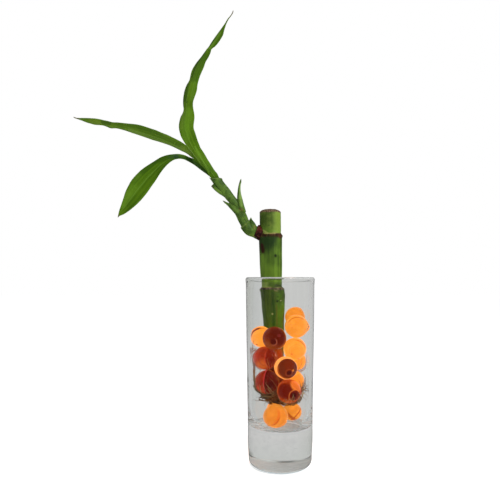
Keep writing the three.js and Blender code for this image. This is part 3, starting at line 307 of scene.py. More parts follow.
# What each gel bead shows from the front, in its radii from its middle: its two tones, then its marks. All
# are painted light and shade on one orange gel: dark where the cane and roots show through, lit where light
# passes, with painted highlights.
# A disc has a size and how soft its edge is, a ring a size and its half width. Both have a colour
# and a strength. Three more numbers keep a mark near one place: across, up and how far.
PAINTED_BEAD_LIGHT = {
    "bead_01": [(112, 32, 8), (128, 44, 11), [
        ("disc", (0.25, 0.3), 0.75, 0.2, (92, 18, 5), 0.8),
        ("disc", (-0.55, -0.6), 0.5, 0.3, (140, 66, 18), 0.8),
        ("disc", (0.5, -0.75), 0.3, 0.25, (140, 70, 18), 0.5),
        ("disc", (-0.15, -0.2), 0.26, 0.06, (80, 12, 8), 0.8),
        ("ring", (-0.15, -0.2), 0.3, 0.05, (190, 110, 80), 0.7, (0.1, -0.35, 0.4)),
        ("disc", (0.35, 0.33), 0.14, 0.08, (140, 50, 44), 0.6),
        ("disc", (0.95, 0.3), 0.3, 0.12, (220, 130, 60), 0.55),
    ]],
    "bead_02": [(144, 42, 14), (166, 54, 18), [
        ("disc", (-0.3, -0.5), 0.5, 0.28, (200, 98, 36), 0.85),
        ("disc", (-0.7, 0.2), 0.4, 0.2, (188, 52, 20), 0.6),
        ("disc", (0.78, 0.1), 0.88, 0.05, (124, 28, 12), 0.85),
        ("ring", (0.78, 0.1), 0.9, 0.035, (206, 84, 60), 0.7, (-0.05, 0.0, 0.8)),
        ("disc", (0.6, -0.1), 0.3, 0.15, (92, 16, 10), 0.6),
        ("ring", (0.2, 0.2), 0.75, 0.04, (120, 20, 10), 0.5),
        ("disc", (0.86, 0.3), 0.1, 0.05, (225, 140, 110), 0.7),
        ("disc", (-0.8, -0.47), 0.1, 0.05, (60, 10, 8), 0.8),
    ]],
    "bead_03": [(250, 172, 86), (255, 186, 104), [
        ("disc", (0.2, 0.0), 1.02, 0.05, (92, 22, 5), 0.97),
        ("ring", (0.2, 0.0), 0.92, 0.09, (160, 88, 16), 0.8, (-0.45, -0.45, 0.8)),
        ("disc", (0.3, 0.4), 0.45, 0.25, (124, 44, 12), 0.6),
        ("disc", (0.22, -0.28), 0.2, 0.05, (64, 8, 8), 0.85),
        ("ring", (0.22, -0.28), 0.3, 0.04, (170, 80, 40), 0.8),
        ("disc", (0.56, -0.1), 0.09, 0.05, (235, 150, 55), 0.85),
        ("ring", (0.2, 0.0), 0.98, 0.03, (120, 60, 14), 0.7, (0.8, 0.3, 0.6)),
    ]],
    "bead_04": [(138, 32, 8), (158, 46, 12), [
        ("disc", (-0.5, -0.6), 0.4, 0.3, (205, 70, 24), 0.6),
        ("disc", (-0.75, 0.4), 0.4, 0.2, (150, 46, 22), 0.6),
        ("disc", (0.957, 0.0), 1.4, 0.05, (88, 16, 8), 0.95),
        ("disc", (0.3, -0.1), 0.3, 0.2, (62, 8, 6), 0.6),
        ("ring", (0.957, 0.0), 1.42, 0.035, (205, 60, 66), 0.8),
        ("disc", (0.36, 0.6), 0.09, 0.06, (150, 50, 50), 0.5),
        ("ring", (0.957, 0.0), 1.2, 0.03, (150, 40, 30), 0.4, (0.1, 0.5, 0.5)),
    ]],
    "bead_05": [(150, 50, 14), (176, 66, 18), [
        ("disc", (-0.42, 0.2), 0.7, 0.2, (106, 18, 5), 0.92),
        ("disc", (-0.1, -0.9), 0.4, 0.2, (226, 112, 40), 0.85),
        ("disc", (0.55, 0.6), 0.52, 0.1, (228, 132, 48), 0.95),
        ("ring", (0.9, 0.9), 0.66, 0.04, (196, 88, 20), 0.8),
        ("ring", (0.9, 0.9), 0.82, 0.04, (180, 74, 18), 0.8),
        ("ring", (0.9, 0.9), 0.98, 0.04, (190, 80, 20), 0.8),
        ("disc", (0.39, -0.2), 0.46, 0.05, (106, 18, 6), 0.95),
        ("disc", (0.3, -0.12), 0.2, 0.06, (58, 6, 5), 0.85),
        ("ring", (0.39, -0.2), 0.49, 0.04, (228, 130, 60), 0.8),
        ("ring", (0.0, 0.0), 1.3, 0.05, (226, 130, 70), 0.7, (-0.85, 0.1, 0.9)),
    ]],
    "bead_06": [(250, 168, 60), (255, 180, 74), [
        ("disc", (-1.0, -0.1), 0.3, 0.12, (222, 92, 36), 0.85),
        ("ring", (0.0, -0.1), 1.05, 0.15, (112, 24, 6), 1.0, (-0.62, 0.6, 0.62)),
        ("ring", (0.0, -0.1), 1.06, 0.04, (116, 58, 20), 0.9, (0.2, 0.9, 0.55)),
        ("disc", (-0.4, -0.65), 0.09, 0.05, (140, 46, 18), 0.9),
    ]],
    "bead_07": [(224, 148, 52), (232, 160, 60), [
        ("ring", (0.0, 0.0), 1.15, 0.06, (190, 90, 40), 0.7, (-0.7, -0.7, 0.5)),
    ]],
    "bead_08": [(230, 160, 58), (238, 170, 66), [
        ("ring", (0.0, -0.15), 1.035, 0.05, (184, 90, 36), 0.9, (-0.2, 0.8, 0.7)),
        ("disc", (0.9, 0.0), 0.08, 0.04, (110, 40, 26), 0.9),
        ("disc", (0.86, 0.2), 0.05, 0.03, (110, 40, 26), 0.9),
        ("disc", (0.82, -0.15), 0.05, 0.03, (110, 40, 26), 0.9),
    ]],
    "bead_09": [(248, 168, 62), (255, 178, 74), [
        ("ring", (-0.15, -0.15), 1.1, 0.05, (150, 70, 26), 0.9, (0.55, 0.75, 0.7)),
        ("disc", (-0.95, -0.25), 0.25, 0.12, (255, 212, 120), 0.8),
        ("disc", (0.95, -0.05), 0.2, 0.1, (255, 212, 120), 0.8),
        ("ring", (0.05, -0.15), 0.3, 0.03, (215, 125, 40), 0.7),
        ("ring", (0.05, -0.15), 0.45, 0.03, (215, 125, 40), 0.7),
        ("ring", (0.05, -0.15), 0.62, 0.03, (215, 125, 40), 0.7),
        ("disc", (0.24, -0.8), 0.1, 0.05, (176, 76, 28), 0.85),
        ("disc", (-0.35, -0.35), 0.09, 0.05, (190, 96, 36), 0.7),
    ]],
    "bead_10": [(246, 164, 56), (253, 174, 66), [
        ("ring", (-0.6, 0.5), 0.7, 0.04, (205, 105, 30), 0.6),
        ("ring", (-0.6, 0.5), 0.9, 0.04, (205, 105, 30), 0.6),
        ("ring", (-0.6, 0.5), 1.1, 0.04, (205, 105, 30), 0.6),
    ]],
    "bead_11": [(242, 156, 54), (252, 176, 68), [
        ("ring", (-1.0, -1.0), 0.9, 0.07, (200, 88, 28), 0.8),
        ("ring", (-1.0, -1.0), 1.08, 0.05, (205, 90, 28), 0.8),
        ("ring", (-1.0, -1.0), 1.25, 0.07, (200, 88, 26), 0.8),
        ("ring", (-1.0, -1.0), 1.45, 0.05, (190, 80, 26), 0.8),
        ("ring", (-1.0, -1.0), 1.65, 0.05, (180, 72, 26), 0.8),
    ]],
    "bead_12": [(222, 146, 52), (232, 160, 62), [
        ("ring", (-0.55, 0.35), 0.78, 0.15, (222, 128, 44), 0.9, (0.3, 0.1, 0.75)),
        ("ring", (-0.55, 0.35), 0.86, 0.04, (184, 84, 28), 0.9, (0.1, -0.3, 0.5)),
        ("ring", (-0.9, -0.4), 0.5, 0.045, (170, 74, 28), 0.95, (-0.45, -0.75, 0.35)),
        ("disc", (0.1, -0.98), 0.25, 0.12, (190, 92, 34), 0.8),
    ]],
    "bead_13": [(228, 152, 54), (238, 166, 62), [
        ("ring", (0.707, 0.707), 1.63, 0.16, (182, 88, 24), 0.9),
        ("ring", (0.8, -0.6), 1.157, 0.08, (184, 86, 24), 0.85),
    ]],
    "bead_14": [(248, 162, 56), (255, 174, 66), []],
}

# The floor lies a hair under the glass, so that light meets one surface at a time
FLOOR_GAP = 0.12
GROUND_HEIGHT = 1.1

BEADS = [f"bead_{i:02d}" for i in range(1, 15)]
# How light the studio is: seen bare, as it lights the object, through glass, and in shiny surfaces
WHITE = (1.0, 1.0, 1.0, 1.0)
SPREAD_GREY = (0.68, 0.68, 0.68, 1.0)
SEEN_THROUGH_GREY = (0.615, 0.62, 0.615, 1.0)
MIRRORED_GREY = (0.07, 0.07, 0.07, 1.0)
FAINT_MIRROR = (0.12, 0.12, 0.12, 1.0)
FLOOR_SIZE, FLOOR_GLOW = 6.0, 0.42
GLASS_IOR, GEL_IOR = 1.5, 1.34
# The studio and the camera, in metres
KEY_PLACE, KEY_SIZE, KEY_POWER, KEY_AIM = (0.5, -0.45, 0.6), 0.4, 4.5, (-0.02, 0, 0.12)
CAMERA_PLACE, LENS, SENSOR, SHIFT_UP = (-0.0169, -0.2843, 0.1037), 36.36, 36.0, 29.6 / 500
MOST_BOUNCES, GLOSSY_BOUNCES, BRIGHTEST_INDIRECT = 32, 24, 3.0


# Sums in node trees


class Wire:
    """A value in a node tree, which sums can be written with."""

    def __init__(self, tree, socket):
        self.tree = tree
        self.socket = socket

    def _sum(self, operation, first, second=0.5):
        made = self.tree.nodes.new("ShaderNodeMath")
        made.operation = operation
        feed(self.tree, made.inputs[0], first)
        feed(self.tree, made.inputs[1], second)
        return Wire(self.tree, made.outputs[0])

    def __add__(self, other):
        return self._sum("ADD", self, other)

    def __radd__(self, other):
        return self._sum("ADD", other, self)

    def __sub__(self, other):
        return self._sum("SUBTRACT", self, other)

    def __rsub__(self, other):
        return self._sum("SUBTRACT", other, self)

    def __mul__(self, other):
        return self._sum("MULTIPLY", self, other)

    def __rmul__(self, other):
        return self._sum("MULTIPLY", other, self)

    def __truediv__(self, other):
        return self._sum("DIVIDE", self, other)

    def __rtruediv__(self, other):
        return self._sum("DIVIDE", other, self)

    def __pow__(self, other):
        return self._sum("POWER", self, other)

    def __abs__(self):
        return self._sum("ABSOLUTE", self)

    def sine(self):
        return self._sum("SINE", self)

    def cosine(self):
        return self._sum("COSINE", self)

    def angle(self):
        return self._sum("ARCCOSINE", self)

    def least(self, other):
        return self._sum("MINIMUM", self, other)

    def most(self, other):
        return self._sum("MAXIMUM", self, other)


def feed(tree, socket, value):
    """Links a wire to a socket, or sets its value. A colour of three numbers is one picked on screen."""
    if isinstance(value, Wire):
        tree.links.new(value.socket, socket)
    elif socket.type == "RGBA" and len(value) == 3:
        socket.default_value = srgb(*value)
    else:
        socket.default_value = value


def srgb(red, green, blue):
    """A colour picked on screen, as the shaders want it."""
    picked = (red, green, blue)
    return tuple(((c / 255 + 0.055) / 1.055) ** 2.4 if c > 10 else c / 255 / 12.92 for c in picked) + (1.0,)


class Board:
    """A node tree that is being wired up."""

    def __init__(self, tree):
        self.tree = tree
        tree.nodes.clear()

    def node(self, kind, settings=None, sockets=None, out=0):
        """Adds a node with its settings, then its socket values and links, and gives one of its outputs."""
        made = self.tree.nodes.new(kind)
        for name, value in (settings or {}).items():
            setattr(made, name, value)
        for name, value in (sockets or {}).items():
            feed(self.tree, made.inputs[name], value)
        return Wire(self.tree, made.outputs[out]) if made.outputs else made

    def parts(self, vector):
        """The three numbers of a vector."""
        made = self.tree.nodes.new("ShaderNodeSeparateXYZ")
        feed(self.tree, made.inputs[0], vector)
        return [Wire(self.tree, socket) for socket in made.outputs]

    def vector(self, x, y, z):
        return self.node("ShaderNodeCombineXYZ", None, {0: x, 1: y, 2: z})

    def vectors(self, operation, first, second, out=0):
        """A sum of two vectors."""
        return self.node("ShaderNodeVectorMath", {"operation": operation}, {0: first, 1: second}, out)

    def stretched(self, vector, scale):
        return self.vectors("MULTIPLY", vector, scale)

    def scaled(self, vector, size):
        return self.node("ShaderNodeVectorMath", {"operation": "SCALE"}, {0: vector, "Scale": size})

    def swirl(self, place, scale, size):
        """A wandering shift, up to half of size each way."""
        sockets = {"Vector": place, "Scale": scale, "Detail": 2.0}
        noise = self.node("ShaderNodeTexNoise", None, sockets, "Color")
        return self.scaled(self.vectors("SUBTRACT", noise, (0.5, 0.5, 0.5)), size)

    def noise(self, vector, scale, detail=3.0, roughness=0.55):
        sockets = {"Vector": vector, "Scale": scale, "Detail": detail, "Roughness": roughness}
        return self.node("ShaderNodeTexNoise", None, sockets)

    def rise(self, value, low, high):
        """0 below low, 1 above high, and smooth between. Turned round where high is the lower."""
        sockets = {0: value, 1: low, 2: high}
        return self.node("ShaderNodeMapRange", {"interpolation_type": "SMOOTHSTEP"}, sockets)

    def mix(self, share, first, second):
        return self.node("ShaderNodeMix", {"data_type": "RGBA"}, {0: share, 6: first, 7: second}, 2)

    def near(self, place, centre, inner, outer):
        """1 within inner of a point, fading to 0 at outer."""
        return self.rise(self.vectors("DISTANCE", place, centre, "Value"), outer, inner)

    def near_line(self, place, start, end, inner, outer):
        """1 within inner of the straight line between two points, fading to 0 at outer."""
        way = Vector(end) - Vector(start)
        rest = self.vectors("SUBTRACT", place, start)
        dot = self.vectors("DOT_PRODUCT", rest, way / way.length_squared, "Value")
        foot = self.scaled(way, dot.most(0.0).least(1.0))
        return self.near(rest, foot, inner, outer)

    def marked(self, tone, place, marks):
        """The tone with spots and short lines of colour laid over it."""
        for points, size, colour, strength in marks:
            inner, outer = size * 0.35, size * 1.25
            if len(points) == 1:
                share = self.near(place, points[0], inner, outer)
            else:
                share = self.near_line(place, points[0], points[1], inner, outer)
            tone = self.mix(share * strength, tone, colour)
        return tone

    def bump(self, height, strength, distance):
        sockets = {"Height": height, "Strength": strength, "Distance": distance * MM}
        return self.node("ShaderNodeBump", None, sockets)


class Finish(Board):
    """A material that is being mixed."""

    def __init__(self, name):
        self.material = bpy.data.materials.new(name)
        self.material.use_nodes = True
        super().__init__(self.material.node_tree)

    def place(self):
        """Where a point is on the object, in millimetres."""
        here = self.node("ShaderNodeTexCoord", None, None, "Object")
        return self.stretched(here, (1 / MM, 1 / MM, 1 / MM))

    def across_and_along(self):
        made = self.node("ShaderNodeUVMap")
        across, along, _ = self.parts(made)
        return across, along

    def surface(self, **sockets):
        named = {name.replace("_", " "): value for name, value in sockets.items()}
        return self.node("ShaderNodeBsdfPrincipled", None, named)

    def done(self, shader):
        self.node("ShaderNodeOutputMaterial", None, {"Surface": shader})
        return self.material

    def lamp_clear(self, shader, tint):
        """Lets light from the lamps pass through, tinted, so that what is behind is lit."""
        clear = self.node("ShaderNodeBsdfTransparent", None, {"Color": tint})
        shadow = self.node("ShaderNodeLightPath", None, None, "Is Shadow Ray")
        return self.node("ShaderNodeMixShader", None, {0: shadow, 1: shader, 2: clear})


# Shapes


def value_at(pairs, place):
    """The value at a place in a list of (place, value)."""
    if place <= pairs[0][0]:
        return pairs[0][1]
    for (start, before), (end, value) in zip(pairs, pairs[1:]):
        if place <= end:
            share = (place - start) / (end - start)
            return before + (value - before) * share * share * (3 - 2 * share)
    return pairs[-1][1]


def smooth_step(low, high, value):
    share = min(max((value - low) / (high - low), 0.0), 1.0)
    return share * share * (3 - 2 * share)


class Path:
    """A smooth line through points."""

    def __init__(self, points):
        self.points = [Vector(p) for p in points]
        self.steps = None

    def at(self, share):
        """The point at a share of the spans."""
        points = self.points
        place = min(max(share, 0.0), 1.0) * (len(points) - 1)
        i = min(int(place), len(points) - 2)
        w = place - i
        p1, p2 = points[i], points[i + 1]
        p0 = points[i - 1] if i > 0 else 2 * p1 - p2
        p3 = points[i + 2] if i + 2 < len(points) else 2 * p2 - p1
        d0, d1, d2 = (max((b - a).length ** 0.5, 1e-4) for a, b in ((p0, p1), (p1, p2), (p2, p3)))
        m1 = ((p1 - p0) / d0 - (p2 - p0) / (d0 + d1) + (p2 - p1) / d1) * d1
        m2 = ((p2 - p1) / d1 - (p3 - p1) / (d1 + d2) + (p3 - p2) / d2) * d1
        return (
            p1 * (2 * w**3 - 3 * w**2 + 1) + m1 * (w**3 - 2 * w**2 + w)
            + p2 * (3 * w**2 - 2 * w**3) + m2 * (w**3 - w**2)
        )

    def even(self, share):
        """The share of the spans at a share of the length."""
        if self.steps is None:
            count = 400
            self.steps = [0.0]
            before = self.at(0)
            for k in range(1, count + 1):
                here = self.at(k / count)
                self.steps.append(self.steps[-1] + (here - before).length)
                before = here
        want = min(max(share, 0.0), 1.0) * self.steps[-1]
        for k in range(1, len(self.steps)):
            if self.steps[k] >= want:
                gain = self.steps[k] - self.steps[k - 1]
                return (k - 1 + (want - self.steps[k - 1]) / max(gain, 1e-9)) / (len(self.steps) - 1)
        return 1.0

    def frame(self, share):
        """The point, the way along, the way to the front and the way to the side."""
        step = 1e-3
        along = (self.at(share + step) - self.at(share - step)).normalized()
        front = Vector((0, -1, 0))
        front = (front - along * front.dot(along)).normalized()
        return self.at(share), along, front, along.cross(front).normalized()


class Shape:
    """Corners, faces, pattern places and finishes of a mesh that is being made."""

    def __init__(self):
        self.corners = []
        self.faces = []
        self.places = []
        self.finishes = []

    def skin(self, rows, round_it=False, finish=0, places=None):
        """Faces over rows of corners. Gives the number of the first corner."""
        first = len(self.corners)
        width = len(rows[0])
        for k, row in enumerate(rows):
            self.corners.extend(row)
            for i in range(width):
                self.places.append(places[k][i] if places else (i / width, k / len(rows)))
        for k in range(len(rows) - 1):
            for i in range(width if round_it else width - 1):
                a = first + k * width + i
                b = first + k * width + (i + 1) % width
                self.face((a, b, b + width, a + width), finish)
        return first

    def face(self, corners, finish=0):
        self.faces.append(corners)
        self.finishes.append(finish)

    def tip(self, ring, point, finish=0):
        """Closes a ring of corners to a point."""
        last = len(self.corners)
        self.corners.append(point)
        self.places.append(self.places[ring[0]])
        for i, corner in enumerate(ring):
            self.face((corner, ring[(i + 1) % len(ring)], last), finish)

    def rod(self, rings, finish=0):
        """A closed skin over rings, with a flat cap at each end."""
        first = self.skin(rings, True, finish)
        width = len(rings[0])
        last = first + (len(rings) - 1) * width
        for start, ring in ((first, rings[0]), (last, rings[-1])):
            self.tip(list(range(start, start + width)), sum(ring, Vector()) / width, finish)

    def sheet(self, grid, finish):
        """A closed thin sheet from a grid of upper corners, lower corners and pattern places."""
        upper, lower, places = ([[spot[part] for spot in row] for row in grid] for part in range(3))
        top = self.skin(upper, False, finish, places)
        under = self.skin(lower, False, finish, places)
        width, rows = len(upper[0]), len(upper)
        rim = list(range(width)) + [k * width + width - 1 for k in range(1, rows)]
        rim += [(rows - 1) * width + i for i in range(width - 2, -1, -1)]
        rim += [k * width for k in range(rows - 2, 0, -1)]
        for i, corner in enumerate(rim):
            after = rim[(i + 1) % len(rim)]
            self.face((top + corner, top + after, under + after, under + corner), finish)

    def made(self, name, finishes):
        """The object, in metres, with its faces outwards."""
        mesh = bpy.data.meshes.new(name)
        mesh.from_pydata([Vector(p) * MM for p in self.corners], [], self.faces)
        places = mesh.uv_layers.new(name="pattern")
        for loop in mesh.loops:
            places.data[loop.index].uv = self.places[loop.vertex_index]
        for face, finish in zip(mesh.polygons, self.finishes):
            face.material_index = finish
            face.use_smooth = True
        work = bmesh.new()
        work.from_mesh(mesh)
        bmesh.ops.recalc_face_normals(work, faces=work.faces)
        work.to_mesh(mesh)
        work.free()
        for finish in finishes:
            mesh.materials.append(finish)
        piece = bpy.data.objects.new(name, mesh)
        bpy.context.collection.objects.link(piece)
        return piece


def ring_round(middle, side, front, radius, count):
    """A ring of corners. radius is a number, or a function of the angle."""
    ring = []
    for i in range(count):
        angle = 2 * math.pi * i / count
        size = radius(angle) if callable(radius) else radius
        ring.append(middle + side * (size * math.cos(angle)) + front * (size * math.sin(angle)))
    return ring


def settle(piece, slot, *nodes):
    """Puts a finished piece on the object's body, in place of the CAD nodes that it stands for."""
    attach(piece, "root")
    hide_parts(*nodes)


# Finishes


def clear_glass():
    """Clear glass, a little grey, with faint upright draw lines and specks of dust. Painted shade darkens its
    left side, its left edge high up, its low wall and the right of its base, a painted reflection of the
    foot's edge lies dark across the base, and the top of the lip is a dull grey.
    """
    f = Finish("clear_glass")
    place = f.place()
    right, back, up = f.parts(place)
    lines = f.noise(f.stretched(place, (1.0, 1.0, 0.03)), 0.9, 2.0)
    specks = f.rise(f.noise(place, 1.3, 2.0), 0.66, 0.74) * (f.rise(abs(right), 12.5, 16.5) * 0.75 + 0.25)
    wall = f.mix(f.rise(lines, 0.3, 0.7) * 0.6, (253, 253, 252), (246, 246, 246))
    base = f.mix(f.rise(f.noise(place, 0.3), 0.35, 0.65), (250, 249, 248), (240, 239, 239))
    # painted shade: the left side of the wall darker
    wall = f.mix(f.rise(right, -2.0, -15.0) * 0.35, wall, (240, 243, 242))
    base = f.mix(f.rise(up, 16.0, 6.0) * 0.8, base, (236, 239, 236))
    # painted shade along the left edge of the wall, high up
    wall = f.mix(f.rise(right, -16.3, -17.7) * f.rise(up, 66.0, 80.0) * 0.85, wall, (230, 232, 226))
    # painted shade: the low wall darker, near the bowl
    wall = f.mix(f.rise(up, 58.0, 38.0) * 0.35, wall, (236, 238, 236))
    in_front = f.rise(back, 0.0, -1.0)
    # painted reflection: the foot's back edge seen dark across the base
    painted_foot_reflection = f.rise(abs(up - 7.4), 1.0, 0.1) * f.rise(abs(right - 2.1), 7.5, 1.5) * in_front
    base = f.mix(painted_foot_reflection, base, (112, 112, 106))
    # painted reflection of the foot's edge, darker at the base's left edge
    painted_foot_reflection = f.rise(abs(up - 7.6), 2.8, 0.4) * f.rise(right, -14.0, -16.8) * in_front
    base = f.mix(painted_foot_reflection * 0.9, base, (144, 147, 139))
    # painted shade: the right of the base darker
    base = f.mix(f.rise(right, 6.0, 16.5) * 0.8, base, (236, 238, 232))
    tint = f.mix(f.rise(up, 23.5, 20.0), wall, base)
    tint = f.mix(specks * 0.7, tint, (120, 120, 118))
    relief = f.bump(f.noise(f.stretched(place, (1.0, 1.0, 0.2)), 0.12, 1.0), 0.15, 1.0)
    glass = f.surface(
        Base_Color=tint, Roughness=0.0, IOR=GLASS_IOR, Transmission_Weight=1.0, Specular_Tint=FAINT_MIRROR,
        Normal=relief,
    )
    # the top of the lip turns a dull grey
    dull_grey_lip = f.surface(Base_Color=(196, 198, 196), Roughness=0.35, Specular_IOR_Level=0.2, Normal=relief)
    dull_grey_lip_share = f.rise(up, VASE_HEIGHT - 1.1, VASE_HEIGHT - 0.3) * 0.6
    glass = f.node("ShaderNodeMixShader", None, {0: dull_grey_lip_share, 1: glass, 2: dull_grey_lip})
    return f.done(f.lamp_clear(glass, (246, 247, 246)))


def ground_foot():
    """The ground ring and dusty underside that the vase stands on."""
    f = Finish("ground_foot")
    place = f.place()
    dust = f.noise(place, 0.4, 4.0, 0.7)
    grey = f.mix(f.rise(dust, 0.35, 0.65), (168, 179, 182), (188, 198, 200))
    relief = f.bump(dust, 0.3, 0.1)
    return f.done(f.surface(Base_Color=grey, Roughness=0.8, Specular_IOR_Level=0.1, Normal=relief))


def on_front(across, up):
    """The point of a ball of radius 1 that shows at this place from the front."""
    return across, -math.sqrt(max(0.0, 1 - across * across - up * up)), up


def bead_gel(name):
    """One bead's gel, partly clear, in painted light: its tones and marks paint the light, shade and
    highlights and the shapes that it bends into view, with a painted glow and a thin painted rim of light.
    """
    centre, radius = bead_at(name)
    low, high, marks = PAINTED_BEAD_LIGHT[name]
    f = Finish(f"{name}_gel")
    place = f.place()
    from_middle = f.vectors("SUBTRACT", place, centre)
    ball = f.vectors("ADD", f.stretched(from_middle, (1 / radius,) * 3), f.swirl(place, 0.3, BEAD_WOBBLE))
    cloud = f.noise(place, 0.25, 2.0)
    tone = f.mix(f.rise(cloud, 0.38, 0.64), low, high)
    # painted refraction: fine lines of light bent through the gel
    folds = f.rise(abs(f.noise(place, 0.18, 1.0) - 0.5), 0.012, 0.0) * f.rise(cloud, 0.45, 0.6)
    tone = f.mix(folds * 0.45, tone, (205, 100, 40))
    for kind, (across, up), size, edge, colour, strength, *kept in marks:
        away = f.vectors("DISTANCE", ball, on_front(across, up), "Value")
        if kind == "disc":
            share = f.rise(away, size + edge, size - edge)
        else:
            share = f.rise(abs(away - size), edge, edge * 0.3)
        for kept_across, kept_up, reach in kept:
            share = share * f.near(ball, on_front(kept_across, kept_up), reach * 0.6, reach * 1.3)
        tone = f.mix(share * strength, tone, colour)
    relief = f.bump(f.noise(place, 0.5, 2.0), 0.08, 0.4)
    # Beads painted as lit through, and beads painted dark as if shaded by the cane and roots behind them; all
    # have a painted glow, though they are no lamps.
    painted_bright = low[1] > 100
    glow, clear = (0.72, 0.5) if painted_bright else (0.86, 0.06 if name == "bead_04" else 0.17)
    deep = f.stretched(f.stretched(tone, tone), (0.5, 0.5, 0.5))
    gel = f.surface(
        Base_Color=deep, Roughness=0.04, IOR=GEL_IOR, Specular_Tint=FAINT_MIRROR, Transmission_Weight=clear,
        Emission_Color=tone, Emission_Strength=glow, Normal=relief,
    )
    # the rim is painted light round the bead's edge
    rim = (186, 98, 40) if painted_bright else (214, 128, 70)
    edge = f.surface(
        Base_Color=rim, Roughness=0.04, IOR=GEL_IOR, Specular_Tint=FAINT_MIRROR, Transmission_Weight=0.2,
        Emission_Color=rim, Emission_Strength=0.4,
    )
    facing = f.node("ShaderNodeLayerWeight", None, {"Blend": 0.5}, "Facing")
    painted_rim_share = f.rise(facing, 0.8, 1.0) * (0.75 if painted_bright else 0.6)
    both = f.node("ShaderNodeMixShader", None, {0: painted_rim_share, 1: gel, 2: edge})
    return f.done(f.lamp_clear(both, (255, 190, 120) if painted_bright else (225, 130, 80)))


def cane_skin():
    """Smooth living bark: green with upright streaks, brown-black joint rings and small scars. Painted shade
    darkens its left side and the part under the upper ring, painted light lies on its right, the glass lip is
    painted on it as a highlight and shade, and painted orange light from the beads tints it low down.
    """
    f = Finish("cane_skin")
    place = f.place()
    right, _, up = f.parts(place)
    streak = f.noise(f.stretched(place, (1.0, 1.0, 0.06)), 0.75, 4.0, 0.6)
    cloud = f.noise(place, 0.13, 3.0)
    wobble = (f.noise(place, 0.35, 3.0) - 0.5) * 2.4
    mixed = streak * 0.6 + cloud * 0.4
    green = f.mix(f.rise(mixed, 0.34, 0.64), (52, 76, 18), (92, 124, 34))
    shaded = f.rise(abs(right + 5.6 + wobble * 0.3), 3.4, 1.6)
    green = f.mix(shaded * 0.6, green, f.mix(mixed, (42, 64, 16), (78, 106, 30)))
    # painted light and shade above the upper ring: darker on the left, lighter on the right
    top = f.mix(f.rise(right + wobble * 0.5, -4.8, -1.4), (54, 74, 20), (106, 130, 44))
    top = f.mix(f.rise(up, 136.5, 130.5) * 0.5, top, (84, 120, 26))
    top = f.mix(f.rise(cloud, 0.36, 0.62) * 0.3, top, (132, 150, 64))
    green = f.mix(f.rise(up, 128.6, 130.4), green, top)
    patchy = f.rise(mixed, 0.38, 0.62)
    # painted light and shade under the lower ring: darker on the left, lighter on the right
    below = f.mix(
        f.rise(right + wobble * 0.8, -3.2, -0.4),
        f.mix(patchy, (48, 70, 20), (76, 98, 30)), f.mix(patchy, (60, 94, 20), (86, 122, 32)),
    )
    below = f.mix(f.rise(up, 92.0, 80.0) * 0.4, below, (64, 112, 18))
    # darker patches on the right just under the lower ring
    dark_patches_under_ring = f.rise(up, 88.0, 95.0) * f.rise(right, -3.0, 0.0) * f.rise(cloud, 0.35, 0.5)
    below = f.mix(dark_patches_under_ring * 0.85, below, (46, 58, 16))
    green = f.mix(f.rise(up, 99.4, 97.6), green, below)
    green = f.mix(f.rise(up, 114.0, 109.0) * f.rise(up, 102.0, 104.0) * 0.35, green, (112, 148, 40))
    # painted light and shade of the glass lip in front of the cane: a painted highlight on the cane's left
    # and painted shade across the rest, just above the lower ring
    light = f.mix(
        f.rise(right + wobble * 0.5, -8.0, -5.6),
        f.mix(mixed, (122, 146, 60), (150, 170, 88)), f.mix(mixed, (62, 84, 24), (86, 112, 36)),
    )
    green = f.mix(f.rise(abs(up - 101.6), 2.4, 1.4) * 0.75, green, light)
    # painted shade: the left of the cane under the upper ring darker and blue-green, its edge sloping
    slope = (up - 119.0) * 0.45
    blue = f.rise(up + wobble, 115.0, 124.0) * f.rise(up, 129.4, 127.8)
    blue = blue * f.rise(right - slope + wobble * 1.2, -3.2, -6.6)
    green = f.mix(blue * 0.85, green, f.mix(mixed, (8, 24, 12), (24, 50, 22)))
    for height, width, dark, dry in (
        (UPPER_RING - 0.35, 0.9, (38, 18, 10), (80, 46, 28)),
        (LOWER_RING + 0.1, 0.62, (34, 24, 16), (112, 94, 78)),
    ):
        away = abs(up - height + wobble * 0.8)
        ring = f.mix(f.rise(streak, 0.42, 0.6), dark, dry)
        green = f.mix(f.rise(away, width * 1.6, width * 0.7) * 0.95, green, ring)
        pale = abs(up - height - width * 1.35 + wobble * 0.35)
        green = f.mix(f.rise(pale, 0.6, 0.1) * 0.45, green, (150, 136, 80))
    # painted shadow under the upper ring and the bud
    green = f.mix(f.rise(up, 117.0, 127.5) * f.rise(up, 129.2, 128.2) * 0.45, green, (34, 58, 16))
    green = f.marked(green, place, CANE_MARKS)
    # painted orange light from the beads, on the cane low down
    green = f.mix(f.rise(up + wobble * 1.5, 62.0, 51.0), green, (94, 38, 16))
    cut = f.rise(up + wobble * 0.5, CANE_TOP - 1.1, CANE_TOP - 0.3)
    fibres = f.noise(f.stretched(place, (2.0, 2.0, 0.5)), 1.2, 4.0, 0.7)
    green = f.mix(cut, green, f.mix(f.rise(fibres, 0.35, 0.7), (58, 38, 26), (128, 108, 82)))
    rough = 0.38 + cut * 0.4 + streak * 0.08
    relief = f.bump(streak + fibres * cut, 0.25, 0.25)
    return f.done(f.surface(Base_Color=green, Roughness=rough, Specular_IOR_Level=0.14, Normal=relief))


